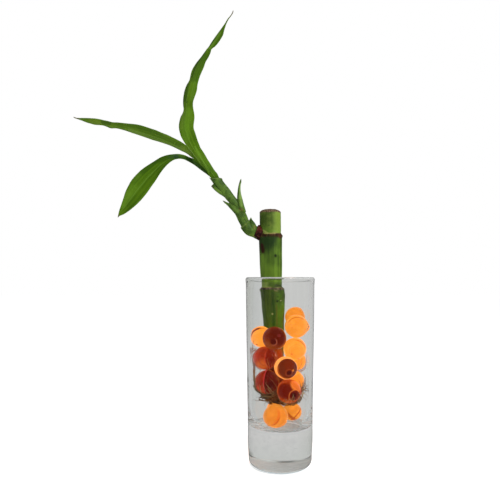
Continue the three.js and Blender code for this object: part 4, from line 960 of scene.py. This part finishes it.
def bud_bark():
    """The dry dark red bracts round the bud."""
    f = Finish("bud_bark")
    place = f.place()
    _, _, up = f.parts(place)
    fibre = f.noise(f.stretched(place, (0.5, 0.9, 0.9)), 0.7, 3.0, 0.6)
    red = f.mix(f.rise(up + fibre * 2.0, 130.8, 134.0), (40, 6, 8), (74, 24, 14))
    red = f.mix(f.rise(fibre, 0.52, 0.7) * 0.3, red, (124, 70, 38))
    relief = f.bump(fibre, 0.4, 0.3)
    return f.done(f.surface(Base_Color=red, Roughness=0.6, Specular_IOR_Level=0.12, Normal=relief))


def shoot_skin():
    """Soft green young stem with blue-green clouds."""
    f = Finish("shoot_skin")
    place = f.place()
    streak = f.noise(f.stretched(place, (0.8, 0.8, 0.25)), 0.8, 4.0)
    cloud = f.noise(place, 0.12, 2.0)
    green = f.mix(streak, (46, 70, 18), (84, 114, 38))
    green = f.mix(f.rise(cloud, 0.5, 0.66) * 0.5, green, (52, 82, 42))
    green = f.marked(green, place, SHOOT_MARKS)
    relief = f.bump(streak, 0.2, 0.2)
    return f.done(f.surface(Base_Color=green, Roughness=0.45, Specular_IOR_Level=0.14, Normal=relief))


def sheath_skin():
    """Thin clasping sheaths, with fine lengthwise nerves and a dull margin."""
    f = Finish("sheath_skin")
    across, along = f.across_and_along()
    place = f.place()
    nerves = (across * 150.0).sine() * 0.5 + 0.5
    cloud = f.noise(place, 0.2, 3.0)
    green = f.mix(f.rise(cloud, 0.36, 0.64), (52, 78, 20), (86, 116, 36))
    green = f.mix(nerves * 0.2, green, (40, 72, 22))
    margin = (abs(across - 0.5) * 2).most(along)
    green = f.mix(f.rise(margin, 0.955, 0.99) * 0.3, green, (128, 146, 84))
    green = f.marked(green, place, SHOOT_MARKS)
    relief = f.bump(nerves, 0.3, 0.12)
    return f.done(f.surface(Base_Color=green, Roughness=0.48, Specular_IOR_Level=0.14, Normal=relief))


def leaf_skin(name, low, high, marks, dry_from=0.965):
    """Satin leaf with lengthwise nerves, a paler rib and margin, and a dry tip, with painted light and shade
    laid on as marks.
    """
    f = Finish(name)
    across, along = f.across_and_along()
    place = f.place()
    reach = abs(across - 0.5) * 2
    wander = f.noise(f.vector(across * 2.0, along * 1.5, 0.0), 2.2, 2.0)
    nerves = ((across + wander * 0.02) * 190.0).sine() * 0.5 + 0.5
    wide = f.noise(f.vector(across * 14.0, along * 0.8, 3.0), 1.0, 3.0)
    cloud = f.noise(place, 0.07, 3.0)
    green = f.mix(f.rise(wide * 0.55 + cloud * 0.45, 0.36, 0.64), low, high)
    green = f.mix(nerves * 0.14, green, (36, 66, 16))
    green = f.mix(f.rise(reach, 0.09, 0.0) * 0.35, green, (108, 146, 60))
    # the marks are painted light and shade
    green = f.marked(green, f.stretched(place, (1.0, 0.0, 1.0)), marks)
    green = f.mix(f.rise(reach, 0.93, 1.0) * 0.4, green, (108, 134, 62))
    green = f.mix(f.rise(along, dry_from, 1.0), green, (92, 78, 44))
    relief = f.bump(nerves * 0.2 + wide, 0.3, 0.05)
    rough = 0.48 + wide * 0.12
    return f.done(f.surface(Base_Color=green, Roughness=rough, Specular_IOR_Level=0.05, Normal=relief))


def root_skin():
    """Dry brown root fibre, paler in places."""
    f = Finish("root_fibre")
    place = f.place()
    own = f.node("ShaderNodeAttribute", {"attribute_name": "fibre_tone"}, None, "Fac")
    tone = own * 0.7 + f.noise(place, 0.9, 3.0) * 0.3
    brown = f.mix(f.rise(tone, 0.15, 0.5), (50, 32, 14), (128, 90, 46))
    brown = f.mix(f.rise(tone, 0.55, 0.8), brown, (184, 162, 112))
    _, _, up = f.parts(place)
    brown = f.mix(f.rise(up, 42.0, 54.0) * 0.6, brown, (186, 126, 66))
    relief = f.bump(f.noise(place, 3.0), 0.4, 0.1)
    return f.done(f.surface(Base_Color=brown, Roughness=0.75, Specular_IOR_Level=0.15, Normal=relief))


def floor_paint():
    """Pale floor, which shows as the same even grey as the studio through the glass."""
    f = Finish("pale_floor")
    tone = f.noise(f.place(), 0.01, 2.0)
    pale = f.mix(tone, (244, 244, 244), (247, 247, 247))
    mirrored = f.node("ShaderNodeLightPath", None, None, "Is Glossy Ray")
    pale = f.mix(mirrored, pale, MIRRORED_GREY)
    paint = f.surface(
        Base_Color=pale, Roughness=0.7, Specular_IOR_Level=0.0,
        Emission_Color=pale, Emission_Strength=FLOOR_GLOW,
    )
    even = f.node("ShaderNodeEmission", None, {"Color": SEEN_THROUGH_GREY})
    seen_through = f.node("ShaderNodeLightPath", None, None, "Is Transmission Ray")
    return f.done(f.node("ShaderNodeMixShader", None, {0: seen_through, 1: paint, 2: even}))


# Vase


def arc(centre_r, centre_z, size_r, size_z, start, end, count):
    turn = [math.radians(start + (end - start) * i / count) for i in range(count + 1)]
    return [(centre_r + size_r * math.cos(a), centre_z + size_z * math.sin(a)) for a in turn]


def smooth_wall(points, steps):
    """A wall's few points joined by one smooth line."""
    line = Path([(r, z, 0) for r, z in points])
    return [tuple(line.at(k / steps)[:2]) for k in range(steps + 1)]


def make_vase(glass, foot):
    lip_centre, lip_half = (LIP_OUTER + LIP_INNER) / 2, (LIP_OUTER - LIP_INNER) / 2
    heel = arc(FOOT_RADIUS, HEEL_HEIGHT, HEEL_RADIUS - FOOT_RADIUS, HEEL_HEIGHT, -90, 0, 40)
    lip = arc(lip_centre, LIP_MIDDLE, lip_half, VASE_HEIGHT - LIP_MIDDLE, -20, 180, 32)
    bowl = arc(FLOOR_RADIUS, BOWL_TOP, BOWL_RADIUS - FLOOR_RADIUS, BOWL_TOP - FLOOR_HEIGHT, 0, -90, 72)
    profile = heel + smooth_wall(OUTER_WALL, 24) + lip + smooth_wall(INNER_WALL, 14) + bowl
    shape = Shape()
    sides = 176
    up, side, front = Vector((0, 0, 1)), Vector((1, 0, 0)), Vector((0, 1, 0))
    shape.skin([ring_round(up * z, side, front, r, sides) for r, z in profile], True)
    ground = sum(1 for _, z in heel if z < GROUND_HEIGHT) * sides
    shape.finishes[:ground] = [1] * ground
    shape.tip(list(range(sides)), Vector((0, 0, 0)), 1)
    last = (len(profile) - 1) * sides
    shape.tip(list(range(last, last + sides)), Vector((0, 0, FLOOR_HEIGHT)))
    settle(shape.made("glass_vase", [glass, foot]), "glass", "vase")


# Cane


def cane_middle(line, height):
    share = (height - CANE_END) / (CANE_LINE[-1][2] - CANE_END)
    for _ in range(4):
        share = min(max(share + (height - line.at(share).z) / CANE_FIT, 0.0), 1.0)
    point = line.at(share)
    return Vector((point.x, point.y, height))


def cane_radius(height, angle):
    """The cane's radius, with its swollen joint rings and slight flutes."""
    radius = value_at(CANE_RADII, height)
    for ring, rise, width in RING_SWELLS:
        lift = 0.35 * math.sin(2 * angle + ring) + 0.2 * math.sin(5 * angle + 1.0)
        radius += rise * (1 + 0.35 * math.sin(3 * angle)) * math.exp(-(((height - ring - lift) / width) ** 2))
        radius -= GROOVE_DEPTH * math.exp(-(((height - ring - lift - GROOVE_ABOVE) / GROOVE_WIDTH) ** 2))
    swelling = smooth_step(58, 72, height) * smooth_step(100, 94, height)
    radius += CANE_SWELLING * swelling * max(0.0, math.cos(angle)) ** 1.5
    return radius + 0.05 * math.sin(7 * angle + 0.05 * height) + 0.03 * math.sin(13 * angle)


def make_cane(skin, bark):
    line = Path(CANE_LINE)
    side, back = Vector((1, 0, 0)), Vector((0, 1, 0))
    shape = Shape()
    sides = 96
    rings = []
    for k in range(int((CANE_TOP - CANE_END) / CANE_STEP) + 1):
        z = CANE_END + k * CANE_STEP
        rings.append(ring_round(cane_middle(line, z), side, back, lambda a, z=z: cane_radius(z, a), sides))
    top = cane_middle(line, CANE_TOP)
    ragged = [
        CUT_RAGGED * math.sin(11 * i / sides * FULL_TURN) * math.sin(4 * i / sides * FULL_TURN + 1)
        for i in range(sides)
    ]
    for inward, rise in CUT_RINGS:
        base_ring = ring_round(top, side, back, lambda a: cane_radius(CANE_TOP, a) * (1 - inward), sides)
        heights = [CANE_TOP + rise * CANE_DOME + extra for extra in ragged]
        rings.append([Vector((p.x, p.y, height)) for p, height in zip(base_ring, heights)])
    shape.rod(rings)
    bud = Path(BUD_LINE)
    collar = []
    steps = 28
    for k in range(steps + 1):
        share = k / steps
        middle, _, front, across = bud.frame(share)
        radius = value_at(BUD_RADII, share)
        ruffle = lambda a, s=share, r=radius: (
            r + 0.12 * math.sin(9 * a + 6 * s) + 0.1 * math.sin(23 * s + 2 * a)
        )
        collar.append(ring_round(middle, across, front, ruffle, 64))
    shape.rod(collar, 1)
    settle(shape.made("bamboo_cane", [skin, bark]), "cane", "cane")


# Shoot and leaves


def leaf_blade(shape, stations, rows, across, wall, finish=0, ripple=0.0, waves=0):
    """A thin blade between its two edges, folded along the middle."""
    first = Path([s[:3] for s in stations])
    second = Path([s[3:6] for s in stations])
    folds = Path([(s[6], 0, 0) for s in stations])
    middles = [(first.at(k / rows) + second.at(k / rows)) / 2 for k in range(rows + 1)]
    lengths = [0.0]
    for before, after in zip(middles, middles[1:]):
        lengths.append(lengths[-1] + (after - before).length)
    grid = []
    for k, middle in enumerate(middles):
        share = k / rows
        along = (middles[min(k + 1, rows)] - middles[max(k - 1, 0)]).normalized()
        wide = (second.at(share) - first.at(share)) / 2
        half = wide.length
        face = wide.cross(along).normalized()
        fold = math.radians(folds.at(share).x)
        row = []
        for i in range(across + 1):
            reach = 2 * i / across - 1
            soft = math.sqrt(reach * reach + 0.012)
            beat = waves * share + 0.63 * (reach + 1)
            wave = ripple * half * reach * reach * math.sin(2 * math.pi * beat)
            point = middle + wide * reach + face * ((soft - 1) * half * math.sin(fold) + wave)
            slant = fold * reach / soft
            normal = (face * math.cos(slant) - wide.normalized() * math.sin(slant)).normalized()
            thick = wall * (0.5 - 0.3 * abs(reach) ** 3)
            pattern = (i / across, lengths[k] / lengths[-1])
            row.append((point + normal * thick, point - normal * thick, pattern))
        grid.append(row)
    shape.sheet(grid, finish)


def sheath(shape, start, end, facing, spread, side_reach, flare):
    """A sheath that clasps the shoot, longest on the side that it faces."""
    line = Path(SHOOT_LINE)
    rows, columns = 36, 48
    grid = []
    for k in range(rows + 1):
        along = k / rows
        row = []
        for i in range(columns + 1):
            reach = 2 * i / columns - 1
            length = (end - start) * (side_reach + (1 - side_reach) * (1 - abs(reach)) ** SHEATH_TAPER)
            share = start + length * along
            middle, _, front, side = line.frame(line.even(share))
            angle = math.radians(facing + reach * spread)
            outward = side * math.cos(angle) + front * math.sin(angle)
            rise = SHEATH_STEP_OUT * min(1, 2 * along) + flare * along**2 - SHEATH_SINK
            radius = value_at(SHOOT_RADII, share) + rise + SHEATH_FLUTE * math.sin(12 * angle)
            wall = SHEATH_WALL * (0.5 - 0.25 * along)
            outer, inner = middle + outward * (radius + wall), middle + outward * (radius - wall)
            row.append((outer, inner, (i / columns, along)))
        grid.append(row)
    shape.sheet(grid, 1)


def make_shoot(stem_skin, thin_skin):
    line = Path(SHOOT_LINE)
    shape = Shape()
    rings = []
    steps = 120
    for k in range(steps + 1):
        share = SHOOT_END * k / steps
        middle, _, front, side = line.frame(line.even(share))
        radius = value_at(SHOOT_RADII, share)
        fluted = lambda a, r=radius: r * (1 + 0.012 * math.sin(8 * a))
        rings.append(ring_round(middle, side, front, fluted, 48))
    shape.rod(rings)
    for kind in SHEATHS:
        sheath(shape, **kind)
    for stations in (SCALE_UPRIGHT, SCALE_POINTED, SCALE_TORN, SCALE_CUP, SCALE_CORNER):
        leaf_blade(shape, stations, 40, 12, SCALE_WALL, 1)
    settle(shape.made("green_shoot", [stem_skin, thin_skin]), "shoot", "shoot")


def make_leaf(name, stations, finish, ripple, waves):
    shape = Shape()
    leaf_blade(shape, stations, 200, 24, LEAF_WALL, 0, ripple, waves)
    settle(shape.made(f"{name}_blade", [finish]), "leaf", name)


# Geometry trees


def new_tree(name, wanted):
    """An empty geometry tree with named inputs. Gives its board and the inputs as wires."""
    tree = bpy.data.node_groups.new(name, "GeometryNodeTree")
    tree.interface.new_socket("Geometry", in_out="INPUT", socket_type="NodeSocketGeometry")
    for label, kind in wanted:
        tree.interface.new_socket(label, in_out="INPUT", socket_type=f"NodeSocket{kind}")
    tree.interface.new_socket("Geometry", in_out="OUTPUT", socket_type="NodeSocketGeometry")
    board = Board(tree)
    source = tree.nodes.new("NodeGroupInput")
    wires = {label: Wire(tree, source.outputs[label]) for label in ["Geometry"] + [w[0] for w in wanted]}
    return board, wires


def end_tree(board, geometry, finish):
    """Real copies, a finish, and the way out."""
    real = board.node("GeometryNodeRealizeInstances", None, {0: geometry})
    smooth = board.node("GeometryNodeSetShadeSmooth", None, {0: real})
    painted = board.node("GeometryNodeSetMaterial", None, {"Geometry": smooth, "Material": finish})
    board.node("NodeGroupOutput", None, {0: painted})
    return board.tree


def grown(name, tree, values, source=None):
    """What the tree makes of a mesh, as a plain mesh on an object."""
    piece = bpy.data.objects.new(name, source or bpy.data.meshes.new(name))
    bpy.context.collection.objects.link(piece)
    grow = piece.modifiers.new("grow", "NODES")
    grow.node_group = tree
    for item in tree.interface.items_tree:
        if item.item_type == "SOCKET" and item.in_out == "INPUT" and item.name in values:
            grow[item.identifier] = values[item.name]
    plain = bpy.data.meshes.new_from_object(piece.evaluated_get(bpy.context.evaluated_depsgraph_get()))
    piece.modifiers.remove(grow)
    piece.data = plain
    plain.name = name
    return piece


def bead_tree():
    """A gel bead: a ball, slightly dented, with one corner drawn out."""
    board, given = new_tree("gel_bead", [
        ("Radius", "Float"), ("Centre", "Vector"), ("Dents", "Float"),
        ("Corner", "Float"), ("Corner way", "Vector"), ("Finish", "Material"),
    ])
    ball = board.node("GeometryNodeMeshIcoSphere", None, {"Radius": given["Radius"], "Subdivisions": 6})
    place = board.node("GeometryNodeInputPosition")
    normal = board.node("GeometryNodeInputNormal")
    shifted = board.vectors("ADD", place, given["Centre"])
    dent = (board.noise(shifted, 140.0, 1.0) - 0.5) * given["Dents"]
    facing = board.vectors("DOT_PRODUCT", normal, given["Corner way"], "Value")
    angle = facing.least(0.9999).angle()
    rounded = (angle * angle + 0.03) ** 0.5
    cone = 1.0 / (given["Corner"] - rounded).most(0.0).cosine() - 1.0
    offset = board.scaled(normal, dent + cone * given["Radius"])
    shaped = board.node("GeometryNodeSetPosition", None, {"Geometry": ball, "Offset": offset})
    moved = board.node("GeometryNodeTransform", None, {"Geometry": shaped, "Translation": given["Centre"]})
    return end_tree(board, moved, given["Finish"])


def root_tree():
    """Fine roots: each chain of edges in the source becomes a wandering, tapering fibre with hairs on it."""
    board, given = new_tree("root_fibres", [
        ("Fibre radius", "Float"), ("Wander", "Float"), ("Hair length", "Float"),
        ("Hair spacing", "Float"), ("Seed", "Int"), ("Finish", "Material"),
    ])
    line = board.node("GeometryNodeMeshToCurve", None, {0: given["Geometry"]})
    line = board.node("GeometryNodeResampleCurve", {"mode": "LENGTH"}, {0: line, "Length": 0.0005})
    share = board.node("GeometryNodeSplineParameter")
    place = board.node("GeometryNodeInputPosition")
    stray = board.swirl(place, 420.0, given["Wander"] * (0.2 + share))
    line = board.node("GeometryNodeSetPosition", None, {"Geometry": line, "Offset": stray})
    ring = board.node("GeometryNodeCurvePrimitiveCircle", None, {"Resolution": 5, "Radius": 1.0})
    thick = given["Fibre radius"] * (1.0 - share * 0.7)
    tube = {"Curve": line, "Profile Curve": ring, "Scale": thick, "Fill Caps": True}
    fibre = board.node("GeometryNodeCurveToMesh", None, tube)
    spacing = {"Curve": line, "Length": given["Hair spacing"]}
    spots = board.node("GeometryNodeCurveToPoints", {"mode": "LENGTH"}, spacing, "Points")
    upright = {"Start": (0.0, 0.0, 0.0), "End": (0.0, 0.0, 1.0)}
    hair_line = board.node("GeometryNodeCurvePrimitiveLine", None, upright)
    hair_ring = board.node("GeometryNodeCurvePrimitiveCircle", None, {"Resolution": 3, "Radius": 0.03})
    hair_tube = {"Curve": hair_line, "Profile Curve": hair_ring, "Scale": 1.0}
    hair = board.node("GeometryNodeCurveToMesh", None, hair_tube)
    turns = {0: (-HALF_TURN,) * 3, 1: (HALF_TURN,) * 3, "Seed": given["Seed"]}
    turn = board.node("FunctionNodeRandomValue", {"data_type": "FLOAT_VECTOR"}, turns, 0)
    sizes = {2: 0.3, 3: 1.0, "Seed": given["Seed"]}
    size = board.node("FunctionNodeRandomValue", None, sizes, 1) * given["Hair length"]
    hairs = board.node("GeometryNodeInstanceOnPoints", None, {
        "Points": spots, "Instance": hair, "Rotation": turn, "Scale": board.vector(size, size, size),
    })
    both = board.tree.nodes.new("GeometryNodeJoinGeometry")
    feed(board.tree, both.inputs[0], hairs)
    feed(board.tree, both.inputs[0], fibre)
    return end_tree(board, Wire(board.tree, both.outputs[0]), given["Finish"])


# Beads and roots


def bead_at(name):
    """A bead's middle and radius, in millimetres."""
    low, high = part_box(name)
    right, back, up, swell = BEAD_NUDGE.get(name, (0, 0, 0, 0))
    return (low + high) / 2 / MM + Vector((right, back, up)), (high.x - low.x) / 2 / MM + swell


def make_beads():
    tree = bead_tree()
    for name in BEADS:
        centre, radius = bead_at(name)
        piece = grown(f"{name}_gel", tree, {
            "Radius": radius * MM, "Centre": centre * MM, "Dents": BEAD_DENTS * MM,
            "Corner": BEAD_CORNERS.get(name, 0.0), "Corner way": Vector(CORNER_WAY).normalized(),
            "Finish": bead_gel(name),
        })
        settle(piece, "bead", name)


def hollow_radius(height):
    """The hollow's radius at a height."""
    if height <= FLOOR_HEIGHT:
        return 0.0
    if height < BOWL_TOP:
        drop = (BOWL_TOP - height) / (BOWL_TOP - FLOOR_HEIGHT)
        return FLOOR_RADIUS + (BOWL_RADIUS - FLOOR_RADIUS) * math.sqrt(max(0.0, 1 - drop * drop))
    return BOWL_RADIUS + (height - BOWL_TOP) * WALL_SLOPE


def kept_clear(point, beads, spare):
    """The point pushed out of the beads and off the glass."""
    for _ in range(6):
        before = point.copy()
        for centre, radius in beads:
            away = point - centre
            if away.length < radius + spare:
                point = centre + away.normalized() * (radius + spare)
        point.z = max(point.z, FLOOR_HEIGHT + spare)
        flat = math.hypot(point.x, point.y)
        limit = hollow_radius(point.z) - spare
        if flat > limit:
            point = Vector((point.x * limit / flat, point.y * limit / flat, point.z))
        if point == before:
            break
    return point


def root_lines():
    """The roots' lines: they cradle the lower beads, climb the glass on the left and wander off."""
    draw = random.Random(PATH_SEED)
    beads = [bead_at(name) for name in BEADS]
    start_at = Vector(CANE_LINE[0])
    lines = []
    for name, count in ROOT_CRADLES:
        centre, radius = bead_at(name)
        for _ in range(count):
            angle = draw.uniform(0, 2 * math.pi)
            reach = draw.uniform(2.0, 5.8)
            lift = draw.uniform(-1.2, 1.6)
            start = start_at + Vector((reach * math.cos(angle), reach * math.sin(angle), lift))
            way = (start - centre).normalized()
            under = Vector([draw.uniform(*ends) for ends in CRADLE_LEAN]).normalized()
            hinge = way.cross(under).normalized()
            total = math.radians(draw.uniform(70, 150))
            near = radius + CRADLE_NEAR + CRADLE_DEPTH * draw.random() ** 2
            first = (start - centre).length
            steps = 26
            line = []
            for k in range(steps + 1):
                turn = total * k / steps
                spun = way * math.cos(turn) + hinge.cross(way) * math.sin(turn)
                blend = smooth_step(0, 0.3, k / steps)
                line.append(kept_clear(centre + spun * (first + (near - first) * blend), beads, LINE_SPARE))
            lines.append(line)
    for name, count, low_turn, high_turn, depth in ROOT_BASKETS:
        centre, radius = bead_at(name)
        for _ in range(count):
            middle_turn = draw.uniform(low_turn, high_turn)
            half = draw.uniform(20, 55)
            lean = draw.uniform(-0.45, 0.5)
            tilt = draw.uniform(-0.15, 0.15)
            near = radius + LINE_SPARE + depth * draw.random() ** 1.5
            line = []
            for k in range(19):
                share = k / 9 - 1
                turn = math.radians(min(max(middle_turn + half * share, low_turn), high_turn))
                aside = lean + tilt * share
                flat = math.sqrt(1 - aside * aside)
                spot = centre + Vector((flat * math.cos(turn), aside, flat * math.sin(turn))) * near
                line.append(kept_clear(spot, beads, LINE_SPARE))
            lines.append(line)
    for _ in range(CLIMBING_ROOTS):
        stray = Vector([draw.uniform(-0.8, 0.8) for _ in range(3)])
        climb = Path([tuple(Vector(point) + stray * draw.uniform(0.3, 1.0)) for point in ROOT_CLIMB])
        reach = draw.uniform(0.55, 1.0)
        lines.append([kept_clear(climb.at(reach * k / 24), beads, LINE_SPARE) for k in range(25)])
    for start, facing, count in ROOT_STRAYS:
        for _ in range(count):
            angle = math.radians(facing + draw.uniform(-80, 80))
            heading = Vector((math.cos(angle), math.sin(angle), draw.uniform(-0.8, 0.9)))
            line = [Vector(start) + Vector([draw.uniform(-1.5, 1.5) for _ in range(3)])]
            for _ in range(draw.randint(5, 14)):
                heading = (heading + Vector([draw.uniform(-0.55, 0.55) for _ in range(3)])).normalized()
                line.append(kept_clear(line[-1] + heading * 0.6, beads, LINE_SPARE))
            lines.append(line)
    return lines


def make_roots(finish):
    lines = root_lines()
    chains = bpy.data.meshes.new("root_chains")
    corners, edges = [], []
    for line in lines:
        edges += [(len(corners) + k, len(corners) + k + 1) for k in range(len(line) - 1)]
        corners += [point * MM for point in line]
    chains.from_pydata(corners, edges, [])
    draw = random.Random(TONE_SEED)
    tones = [tone for line in lines for tone in [draw.random()] * len(line)]
    chains.attributes.new("fibre_tone", "FLOAT", "POINT").data.foreach_set("value", tones)
    sizes = {label: size * MM for label, size in ROOT_SIZES.items()}
    piece = grown("root_mass", root_tree(), {**sizes, "Seed": HAIR_SEED, "Finish": finish}, chains)
    beads = [bead_at(name) for name in BEADS]
    for corner in piece.data.vertices:
        corner.co = kept_clear(corner.co / MM, beads, SKIN_SPARE) * MM
    settle(piece, "root", "roots")


# Studio


def make_floor():
    bpy.ops.mesh.primitive_plane_add(size=FLOOR_SIZE, location=(0, 0, -FLOOR_GAP * MM))
    floor = bpy.context.object
    floor.name = "studio_floor"
    floor.data.materials.append(floor_paint())


def soft_light(name, place, size, power, aim):
    lamp = bpy.data.lights.new(name, "AREA")
    lamp.shape = "DISK"
    lamp.size = size
    lamp.energy = power
    thing = bpy.data.objects.new(name, lamp)
    bpy.context.collection.objects.link(thing)
    thing.location = place
    thing.visible_transmission = False
    thing.rotation_euler = (Vector(aim) - Vector(place)).to_track_quat("-Z", "Y").to_euler()


def make_studio():
    make_floor()
    world = bpy.data.worlds.new("pale_studio")
    bpy.context.scene.world = world
    world.use_nodes = True
    board = Board(world.node_tree)
    tone = SPREAD_GREY
    greys = {
        "Is Camera Ray": WHITE, "Is Glossy Ray": MIRRORED_GREY, "Is Transmission Ray": SEEN_THROUGH_GREY,
    }
    for ray, grey in greys.items():
        tone = board.mix(board.node("ShaderNodeLightPath", None, None, ray), tone, grey)
    sky = board.node("ShaderNodeBackground", None, {"Color": tone, "Strength": 1.0})
    board.node("ShaderNodeOutputWorld", None, {"Surface": sky})
    soft_light("key_light", KEY_PLACE, KEY_SIZE, KEY_POWER, KEY_AIM)
    scene = bpy.context.scene
    scene.view_settings.view_transform = "Standard"
    scene.view_settings.look = "None"
    scene.cycles.max_bounces = MOST_BOUNCES
    scene.cycles.glossy_bounces = GLOSSY_BOUNCES
    scene.cycles.transmission_bounces = MOST_BOUNCES
    scene.cycles.transparent_max_bounces = MOST_BOUNCES
    scene.cycles.sample_clamp_indirect = BRIGHTEST_INDIRECT


def make_camera():
    lens = bpy.data.cameras.new("photo_camera")
    lens.sensor_width = SENSOR
    lens.lens = LENS
    lens.shift_y = SHIFT_UP
    lens.clip_start, lens.clip_end = 0.01, 50.0
    camera = bpy.data.objects.new("photo_camera", lens)
    bpy.context.collection.objects.link(camera)
    camera.location = CAMERA_PLACE
    camera.rotation_euler = (math.radians(90), 0, 0)
    bpy.context.scene.camera = camera


# The object

make_camera()
make_studio()
make_vase(clear_glass(), ground_foot())
make_cane(cane_skin(), bud_bark())
make_shoot(shoot_skin(), sheath_skin())
upper_skin = leaf_skin("upper_leaf", (58, 90, 8), (88, 122, 18), LEAF_UP_PAINTED_LIGHT_AND_SHADE, 0.93)
make_leaf("leaf_up", LEAF_UP, upper_skin, 0.05, 4)
left_skin = leaf_skin("left_leaf", (60, 92, 10), (88, 120, 20), LEAF_LEFT_PAINTED_LIGHT_SHADE_AND_DRY_SPOT)
make_leaf("leaf_left", LEAF_LEFT, left_skin, 0.06, 3)
low_skin = leaf_skin("low_leaf", (48, 80, 4), (74, 106, 10), LEAF_LOW_PAINTED_LIGHT_AND_SHADE)
make_leaf("leaf_low", LEAF_LOW, low_skin, 0.05, 3)
make_beads()
make_roots(root_skin())
